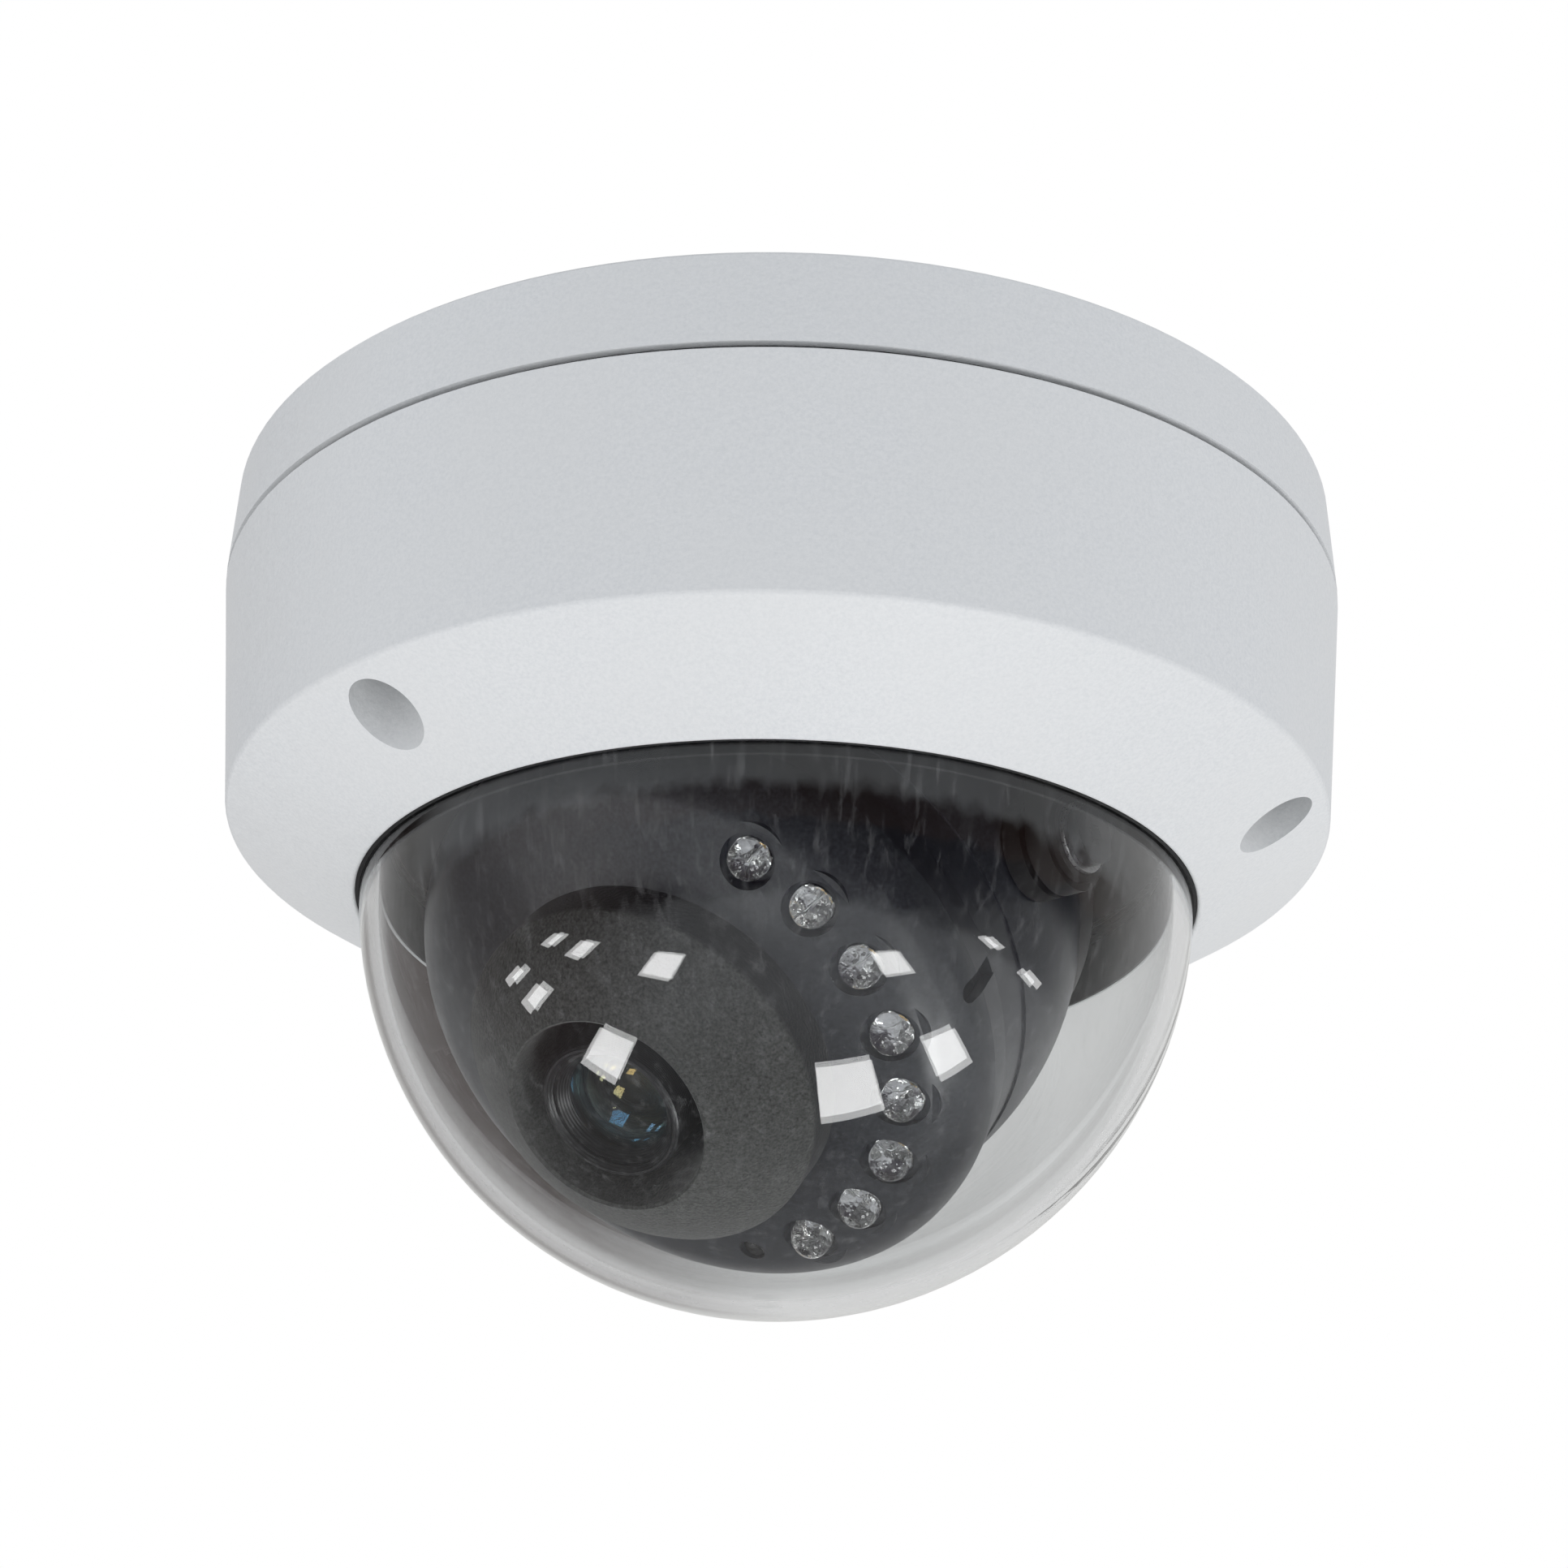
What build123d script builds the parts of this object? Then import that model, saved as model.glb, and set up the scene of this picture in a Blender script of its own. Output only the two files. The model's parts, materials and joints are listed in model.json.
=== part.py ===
from build123d import *
from math import cos, pi, radians, sin, sqrt
import os

# Ceiling-mounted dome camera, millimetres. The origin is the centre of the ceiling face and the
# camera hangs below it, towards -Z. The front is -Y and bearings run from the front towards +X.

# ---------------------------------------------------------------- driving dimensions
# base and cover
BASE_R = 71.5               # base radius at the ceiling
PARTING_R = 72.25           # base and cover radius at the parting line
BASE_RIM_Z = -12.45         # lower edge of the base
COVER_RIM_Z = -13.25        # upper edge of the cover
RIM_EDGE = 0.2              # broken outer edge of the cover's rim
SHOULDER_R = 70.0           # cover radius where the drafted wall meets the cone
SHOULDER_Z = -43.2
OPENING_R = 53.05           # opening for the dome
OPENING_Z = -53.7
COVER_WALL = 2.6
BASE_FLOOR = 3.5
BASE_WALL = 3.0
GASKET_SET_BACK = 1.3       # how far the gasket lies behind the wall at the parting line

# dome
DOME_Z = -51.65             # centre of the sphere
DOME_R = 52.6
DOME_WALL = 2.4
SEAT_Z = -46.6              # land inside the cover that carries the dome seal
SEAT_R = 57.6
SEAL_T = 0.8
FLANGE_T = 2.4
CLAMP_T = 2.0
CLAMP_IN_R = 53.6
CLAMP_OUT_R = 59.0
FLANGE_R = 57.3
LINER_R = 57.4
LINER_T = 1.2
LINER_TOP_Z = -16.0

# cover screws
SCREW_PCR = 63.7
SCREW_BEARINGS = (-46, 74, 194)
WELL_BORE_R = 4.5
WELL_R = 6.0
WELL_FLOOR_Z = -20.5
SCREW_R = 2.0
SCREW_HOLE_R = 2.1

# ceiling fixings and cable entry
MOUNT_PCR = 58.0
MOUNT_BEARINGS = (14, 134, 254)
MOUNT_HOLE_R = 2.3
ENTRY_R = 10.0
CABLE_R = 4.0

# main board
BOARD_TOP_Z = -6.7
BOARD_T = 1.6
BOARD_R = 45.0
BOARD_HOLE_R = 13.5
BOARD_SCREW_PCR = 40.0

# pan bearing
SEAT_RING_R = 47.0          # running bore of the fixed seat ring
SEAT_RING_OUT_R = 56.0
SEAT_RING_TOP_Z = -12.0
SEAT_RING_T = 2.0
PILLAR_PCR = 52.3
PILLAR_BEARINGS = (44, 164, 284)
PAN_GAP = 0.2
RUN_GAP = 0.05              # radial clearance of running fits
TURN_IN_R = 41.5
TURN_OUT_R = 52.0
TURN_T = 2.5

# eyeball: pointing direction at rest and its centre
EYE_Z = -54.0
LOOK_TILT = 42.0            # from straight down
LOOK_BEARING = -38.2
ROLL_AT_REST = -20.0        # bearing of the middle of the arc of lamps, about the lens axis
BALL_R = 38.45

# eyeball profile, as radius from the lens axis and distance along it
SPLIT = 16.2                # split between front and rear shells
STEP = 9.4                  # step on the rear shell
BAND_R = 37.0
NOSE_R = 22.4
NOSE_FOOT = 32.1
NOSE_TOP = 37.7
NOSE_HOLE_R = 12.2
NOSE_TIP = 45.9
SHELL_T = 1.8

# infrared lamps
LAMP_RING_R = 29.6
LAMP_R = 2.5
LAMP_TIP = 31.9
LAMP_COUNT = 8
LAMP_STEP = 17.34
LAMP_WELL_R = 3.3
SHELL_SCREW_ANGLES = (70, -110)
LIGHT_SENSOR_ANGLE = -98.0

# roll and tilt bearings
NECK_R = 31.5
NECK_END = -19.5
SHELL_BACK = -12.0
CRADLE_R = 41.2
CRADLE_IN_R = 38.8
CRADLE_FRONT = -12.3
CRADLE_REAR = -17.3
TRUNNION_FACE = 41.3        # distances along the tilt axis
ARM_IN = 41.6
ARM_T = 2.6
BOSS_OUT = 45.0
PIVOT_R = 2.5
BOSS_R = 6.2

os.makedirs("parts", exist_ok=True)


def polar(radius, bearing):
    """Plan position at a bearing measured from the front (-Y) towards the right (+X)."""
    return radius * sin(radians(bearing)), -radius * cos(radians(bearing))


def around(radius, angle):
    """Position about a plane's own axis, with the angle from its x direction."""
    return radius * cos(radians(angle)), radius * sin(radians(angle))


# ---------------------------------------------------------------- reference planes
SECTION = Plane.XZ                       # radial section of everything round the vertical axis
DOWN = Vector(0, 0, -1)

sideways = sin(radians(LOOK_TILT))
LOOK = Vector(sideways * sin(radians(LOOK_BEARING)), -sideways * cos(radians(LOOK_BEARING)),
              -cos(radians(LOOK_TILT)))
TILT = Vector(cos(radians(LOOK_BEARING)), sin(radians(LOOK_BEARING)), 0)
EYE = Vector(0, 0, EYE_Z)
LOOK_AXIS = Axis(EYE, LOOK)
eye_plane = Plane(origin=EYE, x_dir=TILT, z_dir=LOOK)
eye_section = Plane(origin=EYE, x_dir=TILT, z_dir=TILT.cross(LOOK))
# yoke plane: x along the tilt axis, y level, z up
yoke_plane = Plane(origin=EYE, x_dir=TILT, z_dir=(0, 0, 1))


def hang(x, y, z):
    """Plane at a point with its z direction pointing down."""
    return Plane(origin=(x, y, z), z_dir=DOWN)


def pan_screw(head_r, head_h, shank_r, shank_l):
    """Pan-head screw with its head above the origin and a cross recess."""
    with BuildPart() as screw:
        Cylinder(head_r, head_h, align=(Align.CENTER, Align.CENTER, Align.MIN))
        fillet(screw.edges().group_by(Axis.Z)[-1], head_h * 0.55)
        Cylinder(shank_r, shank_l, align=(Align.CENTER, Align.CENTER, Align.MAX))
        for turn in (0, 90):
            with Locations(Location((0, 0, head_h), (0, 0, turn))):
                Box(head_r * 1.1, head_r * 0.26, head_h, mode=Mode.SUBTRACT)
    return screw.part


def cap_radius(edge_r, rise):
    """Radius of the sphere whose cap has this edge radius and height."""
    return (edge_r**2 + rise**2) / (2 * rise)


def finish_part(builder, name):
    """Label a finished piece and write it."""
    builder.part.label = name
    export_step(builder.part, f"parts/{name}.step")


# ================================================================ fixed base
with BuildPart() as base_housing:
    with BuildSketch(SECTION):
        with BuildLine():
            Polyline((0, 0), (BASE_R - 0.6, 0), (BASE_R, -0.6), (PARTING_R, BASE_RIM_Z),
                     (PARTING_R - BASE_WALL, BASE_RIM_Z), (BASE_R - BASE_WALL, -BASE_FLOOR),
                     (0, -BASE_FLOOR), (0, 0))
        make_face()
    revolve(axis=Axis.Z)
    # screw bosses, each tied to the wall by a rib
    for bearing in SCREW_BEARINGS:
        with BuildSketch(Plane.XY.offset(-BASE_FLOOR)):
            with Locations(polar(SCREW_PCR, bearing)):
                Circle(4.6)
            with Locations(Location((*polar(SCREW_PCR + 3.5, bearing), 0), (0, 0, bearing))):
                Rectangle(3.0, 6.0)
        extrude(amount=BASE_RIM_Z + BASE_FLOOR)
    # posts under the pan seat ring
    with BuildSketch(Plane.XY.offset(-BASE_FLOOR)):
        with Locations(*[polar(PILLAR_PCR, b) for b in PILLAR_BEARINGS]):
            Circle(2.9)
    extrude(amount=SEAT_RING_TOP_Z + BASE_FLOOR)
    # holes: ceiling screws, cable entry, cover screws, seat-ring screws
    with Locations(*[hang(*polar(MOUNT_PCR, b), 0) for b in MOUNT_BEARINGS]):
        Cylinder(MOUNT_HOLE_R, 3 * BASE_FLOOR, mode=Mode.SUBTRACT)
    with Locations(*[hang(*polar(MOUNT_PCR, b), -BASE_FLOOR) for b in MOUNT_BEARINGS]):
        Cylinder(4.4, 2.0, mode=Mode.SUBTRACT)
    Cylinder(ENTRY_R, 3 * BASE_FLOOR, mode=Mode.SUBTRACT)
    with Locations(*[hang(*polar(SCREW_PCR, b), BASE_RIM_Z) for b in SCREW_BEARINGS]):
        Cylinder(SCREW_HOLE_R, 17.0, mode=Mode.SUBTRACT)
    with Locations(*[hang(*polar(PILLAR_PCR, b), SEAT_RING_TOP_Z) for b in PILLAR_BEARINGS]):
        Cylinder(1.5, 12.0, mode=Mode.SUBTRACT)
finish_part(base_housing, "base_housing")

with BuildPart() as base_gasket:
    with BuildSketch(Plane.XY.offset(BASE_RIM_Z)):
        Circle(PARTING_R - GASKET_SET_BACK)
        Circle(PARTING_R - BASE_WALL, mode=Mode.SUBTRACT)
    extrude(amount=COVER_RIM_Z - BASE_RIM_Z)
finish_part(base_gasket, "base_gasket")

with BuildPart() as cable_grommet:
    with BuildSketch(SECTION):
        with BuildLine():
            Polyline((CABLE_R, 0), (ENTRY_R, 0), (ENTRY_R, -BASE_FLOOR), (12.4, -BASE_FLOOR),
                     (12.0, -5.0), (7.4, -5.0), (6.2, -8.4), (CABLE_R, -8.4), (CABLE_R, 0))
        make_face()
    revolve(axis=Axis.Z)
finish_part(cable_grommet, "cable_grommet")

# main board with the parts soldered to its lower face
BOARD_UNDER_Z = BOARD_TOP_Z - BOARD_T
board_corners = [polar(BOARD_SCREW_PCR, 29 + 90 * k) for k in range(4)]
with BuildPart() as main_board:
    with BuildSketch(Plane.XY.offset(BOARD_TOP_Z)):
        Circle(BOARD_R)
        Circle(BOARD_HOLE_R, mode=Mode.SUBTRACT)
        with Locations(*board_corners):
            Circle(1.6, mode=Mode.SUBTRACT)
    extrude(amount=-BOARD_T)
finish_part(main_board, "main_board")

with BuildPart() as board_standoffs:
    with BuildSketch(Plane.XY.offset(-BASE_FLOOR)):
        with Locations(*board_corners):
            RegularPolygon(3.0, 6)
            Circle(1.5, mode=Mode.SUBTRACT)
    extrude(amount=BOARD_TOP_Z + BASE_FLOOR)
finish_part(board_standoffs, "board_standoffs")

with BuildPart() as board_screws:
    with Locations(*[hang(x, y, BOARD_UNDER_Z) for x, y in board_corners]):
        add(pan_screw(2.7, 1.8, 1.5, 4.6))
finish_part(board_screws, "board_screws")

CHIPS = [   # bearing, radius, length, width, height
    (0, 26, 14, 14, 1.5), (52, 27, 12, 8, 1.2), (100, 26, 10, 10, 1.2), (150, 30, 8, 8, 1.4),
    (180, 24, 12, 6, 1.2), (222, 28, 9, 9, 1.5), (268, 26, 14, 8, 1.2), (318, 28, 7, 7, 1.4),
]
with BuildPart() as board_chips:
    for bearing, radius, length, width, height in CHIPS:
        with Locations(Location((*polar(radius, bearing), BOARD_UNDER_Z - height / 2),
                                (0, 0, bearing))):
            Box(length, width, height)
    chamfer(board_chips.edges().filter_by(GeomType.LINE).group_by(Axis.Z)[0], 0.2)
finish_part(board_chips, "board_chips")

with BuildPart() as board_connectors:
    for bearing in (72, 150, 180, 255, 330):
        plane = Plane(origin=(*polar(38.5, bearing), BOARD_UNDER_Z), z_dir=DOWN,
                      x_dir=Vector(cos(radians(bearing)), sin(radians(bearing)), 0))
        with BuildSketch(plane):
            Rectangle(9, 4.6)
        extrude(amount=4.2)
        with BuildSketch(plane.offset(0.8)):
            Rectangle(7.6, 3.2)
        extrude(amount=4.0, mode=Mode.SUBTRACT)
finish_part(board_connectors, "board_connectors")

with BuildPart() as network_transformer:
    with BuildSketch(Plane(origin=(*polar(38, 2), BOARD_UNDER_Z), z_dir=DOWN)):
        Rectangle(10, 7)
    extrude(amount=2.6)
    chamfer(network_transformer.faces().sort_by(Axis.Z)[0].edges(), 0.5)
finish_part(network_transformer, "network_transformer")

# ring on which the yoke turns
SEAT_RING_UNDER_Z = SEAT_RING_TOP_Z - SEAT_RING_T
with BuildPart() as pan_seat_ring:
    with BuildSketch(Plane.XY.offset(SEAT_RING_TOP_Z)):
        Circle(SEAT_RING_OUT_R)
        Circle(SEAT_RING_R, mode=Mode.SUBTRACT)
        with Locations(*[polar(PILLAR_PCR, b) for b in PILLAR_BEARINGS]):
            Circle(1.6, mode=Mode.SUBTRACT)
    extrude(amount=-SEAT_RING_T)
    with Locations(*[hang(*polar(PILLAR_PCR, b), SEAT_RING_UNDER_Z) for b in PILLAR_BEARINGS]):
        Cone(1.5, 2.8, 1.4, align=(Align.CENTER, Align.CENTER, Align.MAX), mode=Mode.SUBTRACT)
finish_part(pan_seat_ring, "pan_seat_ring")

with BuildPart() as seat_ring_screws:
    for bearing in PILLAR_BEARINGS:
        plane = hang(*polar(PILLAR_PCR, bearing), SEAT_RING_UNDER_Z)
        with BuildSketch(plane.offset(-1.4)):
            Circle(1.5)
        with BuildSketch(plane):
            Circle(2.8)
        loft()
        with BuildSketch(plane.offset(-1.4)):
            Circle(1.5)
        extrude(amount=-5.0)
        with BuildSketch(plane):
            Rectangle(3.2, 0.8)
            Rectangle(0.8, 3.2)
        extrude(amount=-0.7, mode=Mode.SUBTRACT)
finish_part(seat_ring_screws, "seat_ring_screws")

# ================================================================ pan yoke
TURN_TOP_Z = SEAT_RING_UNDER_Z - PAN_GAP
TURN_UNDER_Z = TURN_TOP_Z - TURN_T
LIP_R = SEAT_RING_R - RUN_GAP
LIP_TOP_Z = SEAT_RING_TOP_Z + PAN_GAP
RETAINER_T = 1.2
RETAINER_BEARINGS = (20, 140, 260)
FOOT_T = 2.3
FOOT_END = 51.6
ARM_HALF_W = 6.2
foot_holes = [(x, y) for x in (48.3, -48.3) for y in (-5.2, 5.2)]

with BuildPart() as pan_turntable:
    with BuildSketch(SECTION):
        with BuildLine():
            Polyline((TURN_IN_R, TURN_UNDER_Z), (TURN_OUT_R, TURN_UNDER_Z),
                     (TURN_OUT_R, TURN_TOP_Z), (LIP_R, TURN_TOP_Z), (LIP_R, LIP_TOP_Z),
                     (43.6, LIP_TOP_Z), (43.6, TURN_TOP_Z), (TURN_IN_R, TURN_TOP_Z),
                     (TURN_IN_R, TURN_UNDER_Z))
        make_face()
    revolve(axis=Axis.Z)
    with Locations(*[hang(*polar(45.3, b), LIP_TOP_Z) for b in RETAINER_BEARINGS]):
        Cylinder(0.8, 6.0, mode=Mode.SUBTRACT)
    with Locations(Location((0, 0, TURN_UNDER_Z), (0, 0, LOOK_BEARING))):
        with Locations(*[(x, y, 0) for x, y in foot_holes]):
            Cylinder(1.25, 4.0, mode=Mode.SUBTRACT)
finish_part(pan_turntable, "pan_turntable")

with BuildPart() as pan_retainer_ring:
    with BuildSketch(Plane.XY.offset(LIP_TOP_Z)):
        Circle(48.9)
        Circle(43.6, mode=Mode.SUBTRACT)
        with Locations(*[polar(45.3, b) for b in RETAINER_BEARINGS]):
            Circle(0.9, mode=Mode.SUBTRACT)
    extrude(amount=RETAINER_T)
finish_part(pan_retainer_ring, "pan_retainer_ring")

with BuildPart() as pan_retainer_screws:
    with Locations(*[(*polar(45.3, b), LIP_TOP_Z + RETAINER_T) for b in RETAINER_BEARINGS]):
        add(pan_screw(1.5, 1.0, 0.8, 3.6))
finish_part(pan_retainer_screws, "pan_retainer_screws")


def yoke_arm(side):
    """Moulded arm from the turntable down to the tilt pivot; side is +1 or -1 along the tilt axis."""
    face = Plane(origin=yoke_plane.from_local_coords((side * ARM_IN, 0, 0)), x_dir=(0, 0, 1),
                 z_dir=TILT * side)
    foot_z = TURN_UNDER_Z - EYE_Z
    with BuildPart() as arm:
        # upright web with a round end about the tilt axis
        with BuildSketch(face):
            Circle(BOSS_R)
            with Locations((foot_z / 2, 0)):
                Rectangle(foot_z, 2 * ARM_HALF_W)
        extrude(amount=ARM_T)
        # raised ring round the pivot
        with BuildSketch(face.offset(ARM_T)):
            Circle(BOSS_R - 0.9)
        extrude(amount=BOSS_OUT - ARM_IN - ARM_T)
        # foot against the turntable
        with BuildSketch(yoke_plane.offset(foot_z)):
            with Locations((side * (ARM_IN + FOOT_END) / 2, 0)):
                Rectangle(FOOT_END - ARM_IN, 17)
        extrude(amount=-FOOT_T)
        # stiffening ribs along the web's edges
        with BuildSketch(face.offset(ARM_T)):
            with Locations((foot_z / 2 + 5, ARM_HALF_W - 0.75), (foot_z / 2 + 5, 0.75 - ARM_HALF_W)):
                Rectangle(foot_z - 14, 1.5)
        extrude(amount=1.4)
        with Locations(yoke_plane.location * Location((side * ARM_IN, 0, 0), (0, 90, 0))):
            Cylinder(PIVOT_R + RUN_GAP, 20, mode=Mode.SUBTRACT)
        with Locations(yoke_plane.location):
            with Locations(*[(x, y, foot_z) for x, y in foot_holes if x * side > 0]):
                Cylinder(1.3, 10, mode=Mode.SUBTRACT)
    return arm.part


with BuildPart() as yoke_arm_right:
    add(yoke_arm(1))
finish_part(yoke_arm_right, "yoke_arm_right")

with BuildPart() as yoke_arm_left:
    add(yoke_arm(-1))
finish_part(yoke_arm_left, "yoke_arm_left")

with BuildPart() as yoke_screws:
    for x, y in foot_holes:
        point = yoke_plane.from_local_coords((x, y, TURN_UNDER_Z - EYE_Z - FOOT_T))
        with Locations(Plane(origin=point, z_dir=DOWN)):
            add(pan_screw(2.3, 1.7, 1.25, 4.2))
finish_part(yoke_screws, "yoke_screws")

# ================================================================ tilt cradle
with BuildPart() as strap_shape:
    # side view of both straps: round ends on the tilt axis, running back to the ring
    with BuildSketch(Plane(origin=EYE, x_dir=LOOK, z_dir=TILT)):
        Circle(BOSS_R)
        with Locations((CRADLE_REAR / 2, 0)):
            Rectangle(-CRADLE_REAR, 2 * BOSS_R)
    extrude(amount=CRADLE_R + 1, both=True)

with BuildPart() as tilt_cradle:
    # hollow ball segment between the two end planes
    with BuildSketch(eye_section):
        with BuildLine():
            front = BOSS_R + 0.5
            outer_front = (sqrt(CRADLE_R**2 - front**2), front)
            outer_rear = (sqrt(CRADLE_R**2 - CRADLE_REAR**2), CRADLE_REAR)
            inner_rear = (sqrt(CRADLE_IN_R**2 - CRADLE_REAR**2), CRADLE_REAR)
            inner_front = (sqrt(CRADLE_IN_R**2 - front**2), front)
            RadiusArc(outer_front, outer_rear, CRADLE_R)
            Line(outer_rear, inner_rear)
            RadiusArc(inner_rear, inner_front, -CRADLE_IN_R)
            Line(inner_front, outer_front)
        make_face()
    revolve(axis=LOOK_AXIS)
    add(strap_shape.part, mode=Mode.INTERSECT)
    # ring round the neck of the eyeball
    with BuildSketch(eye_plane.offset(CRADLE_REAR)):
        Circle(36.4)
        Circle(NECK_R + RUN_GAP, mode=Mode.SUBTRACT)
    extrude(amount=CRADLE_FRONT - CRADLE_REAR)
    # flat pads that face the yoke arms, and the threaded holes for the pivots
    for side in (1, -1):
        pad = Plane(origin=EYE + TILT * (side * TRUNNION_FACE), z_dir=TILT * side)
        with BuildSketch(pad):
            Circle(BOSS_R - 1.0)
        extrude(amount=-1.6)
        with BuildSketch(pad):
            Circle(1.6)
        extrude(amount=-4.0, mode=Mode.SUBTRACT)
finish_part(tilt_cradle, "tilt_cradle")

WASHER_FACE = BOSS_OUT + 0.05
WASHER_T = 0.5
with BuildPart() as tilt_washers:
    for side in (1, -1):
        with BuildSketch(Plane(origin=EYE + TILT * (side * WASHER_FACE), z_dir=TILT * side)):
            Circle(4.3)
            Circle(PIVOT_R, mode=Mode.SUBTRACT)
        extrude(amount=WASHER_T)
finish_part(tilt_washers, "tilt_washers")

with BuildPart() as tilt_pivot_screws:
    for side in (1, -1):
        seat = Plane(origin=EYE + TILT * (side * (WASHER_FACE + WASHER_T)), z_dir=TILT * side)
        with BuildSketch(seat):
            Circle(3.6)
        extrude(amount=1.5)
        with BuildSketch(seat.offset(1.5)):
            RegularPolygon(1.4, 6)
        extrude(amount=-1.0, mode=Mode.SUBTRACT)
        with BuildSketch(seat):
            Circle(PIVOT_R)
        extrude(amount=TRUNNION_FACE - WASHER_FACE - WASHER_T)
        with BuildSketch(Plane(origin=EYE + TILT * (side * TRUNNION_FACE), z_dir=TILT * side)):
            Circle(1.6)
        extrude(amount=CRADLE_IN_R + 0.3 - TRUNNION_FACE)
finish_part(tilt_pivot_screws, "tilt_pivot_screws")

# ================================================================ eyeball, carried in roll
lamp_angles = [ROLL_AT_REST + LAMP_STEP * ((LAMP_COUNT - 1) / 2 - k) for k in range(LAMP_COUNT)]
lamp_points = [around(LAMP_RING_R, angle) for angle in lamp_angles]
SHELL_SCREW_PCR = 26.6
shell_screw_points = [around(SHELL_SCREW_PCR, angle) for angle in SHELL_SCREW_ANGLES]
sensor_post_points = [(x, y) for x in (-12.5, 12.5) for y in (-12.5, 12.5)]
SENSOR_POINT = around(LAMP_RING_R, LIGHT_SENSOR_ANGLE)
LAMP_BOARD = 22.6
LAMP_BOARD_T = 1.2
SENSOR_BOARD = 4.0
SENSOR_BOARD_T = 1.2
SHOULDER_C = (28.6, 20.6)
SHOULDER_ARC_R = 9.1


def shell_outline(inset):
    """Outer or inner line of the front shell, from the nose seat round the shoulder to the split."""
    radius = SHOULDER_ARC_R - inset
    slope_x, slope_y = 0.28, 0.96
    top = (SHOULDER_C[0] + radius * slope_x, SHOULDER_C[1] + radius * slope_y)
    middle = (SHOULDER_C[0] + radius * cos(pi / 5), SHOULDER_C[1] + radius * sin(pi / 5))
    side = (SHOULDER_C[0] + radius, SHOULDER_C[1])
    split = (37.3 - inset, SPLIT)
    return top, middle, side, split


with BuildPart() as led_cover:
    with BuildSketch(eye_section):
        with BuildLine():
            top, middle, side, split = shell_outline(0)
            in_top, in_middle, in_side, in_split = shell_outline(SHELL_T)
            Polyline((10.4, 31.6), (NOSE_R, 31.6), (NOSE_R, NOSE_FOOT), top)
            ThreePointArc(top, middle, side)
            Polyline(side, split, in_split, in_side)
            ThreePointArc(in_side, in_middle, in_top)
            Polyline(in_top, (NOSE_R - 1, 29.8), (10.4, 29.8), (10.4, 31.6))
        make_face()
    revolve(axis=LOOK_AXIS)
    # seats for the lamps: a shallow well with a close hole through its floor
    with BuildSketch(eye_plane.offset(27.2)):
        with Locations(*lamp_points):
            Circle(4.4)
    extrude(amount=1.3)
    with BuildSketch(eye_plane.offset(28.4)):
        with Locations(*lamp_points):
            Circle(LAMP_WELL_R)
    extrude(amount=6.0, mode=Mode.SUBTRACT)
    with BuildSketch(eye_plane.offset(26.0)):
        with Locations(*lamp_points):
            Circle(LAMP_R + 0.1)
    extrude(amount=8.0, mode=Mode.SUBTRACT)
    with BuildSketch(eye_plane.offset(26.0)):
        with Locations(SENSOR_POINT):
            Circle(1.6)
    extrude(amount=8.0, mode=Mode.SUBTRACT)
    # posts for the sensor board and bosses for the shell screws
    with BuildSketch(eye_plane.offset(SENSOR_BOARD + SENSOR_BOARD_T)):
        with Locations(*sensor_post_points):
            Circle(2.4)
    extrude(until=Until.NEXT)
    with BuildSketch(eye_plane.offset(12.0)):
        with Locations(*shell_screw_points):
            Circle(2.7)
    extrude(until=Until.NEXT)
    with BuildSketch(eye_plane.offset(SENSOR_BOARD + SENSOR_BOARD_T)):
        with Locations(*sensor_post_points):
            Circle(1.0)
    extrude(amount=7.0, mode=Mode.SUBTRACT)
    with BuildSketch(eye_plane.offset(12.0)):
        with Locations(*shell_screw_points):
            Circle(1.25)
    extrude(amount=8.0, mode=Mode.SUBTRACT)
    # snap notch in the rim
    with BuildSketch(Plane(origin=EYE, x_dir=LOOK, z_dir=TILT)):
        with Locations(Location((18.6, 5.9), 0)):
            SlotOverall(11.0, 2.4)
    extrude(amount=60, mode=Mode.SUBTRACT)
finish_part(led_cover, "led_cover")

with BuildPart() as rear_shell:
    ball_in_r = BALL_R - 2.0
    with BuildSketch(eye_section):
        with BuildLine():
            ball_step = (sqrt(BALL_R**2 - STEP**2), STEP)
            ball_back = (sqrt(BALL_R**2 - SHELL_BACK**2), SHELL_BACK)
            in_step = (sqrt(ball_in_r**2 - STEP**2), STEP)
            in_back = (sqrt(ball_in_r**2 - (SHELL_BACK + 2)**2), SHELL_BACK + 2)
            Polyline((34.0, SPLIT + 2.0), (35.4, SPLIT + 2.0), (35.4, SPLIT - 0.2),
                     (BAND_R, SPLIT - 0.2), (BAND_R, STEP), ball_step)
            RadiusArc(ball_step, ball_back, BALL_R)
            Polyline(ball_back, (NECK_R, SHELL_BACK), (NECK_R, -17.4), (30.6, -17.4),
                     (30.6, -18.9), (NECK_R, -18.9), (NECK_R, NECK_END), (29.2, NECK_END),
                     (29.2, SHELL_BACK + 2), in_back)
            RadiusArc(in_back, in_step, -ball_in_r)
            Polyline(in_step, (34.0, STEP + 1.0), (34.0, SPLIT + 2.0))
        make_face()
    revolve(axis=LOOK_AXIS)
    # two lugs reaching in from the wall for the shell screws
    for angle in SHELL_SCREW_ANGLES:
        with BuildSketch(eye_plane.offset(8.6)):
            with Locations(Location((*around(30.6, angle), 0), (0, 0, angle))):
                Rectangle(9.6, 6.4)
            with Locations(around(SHELL_SCREW_PCR, angle)):
                Circle(3.2)
        extrude(amount=3.2)
    with BuildSketch(eye_plane.offset(8.0)):
        with Locations(*shell_screw_points):
            Circle(1.35)
    extrude(amount=6.0, mode=Mode.SUBTRACT)
finish_part(rear_shell, "rear_shell")

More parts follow.
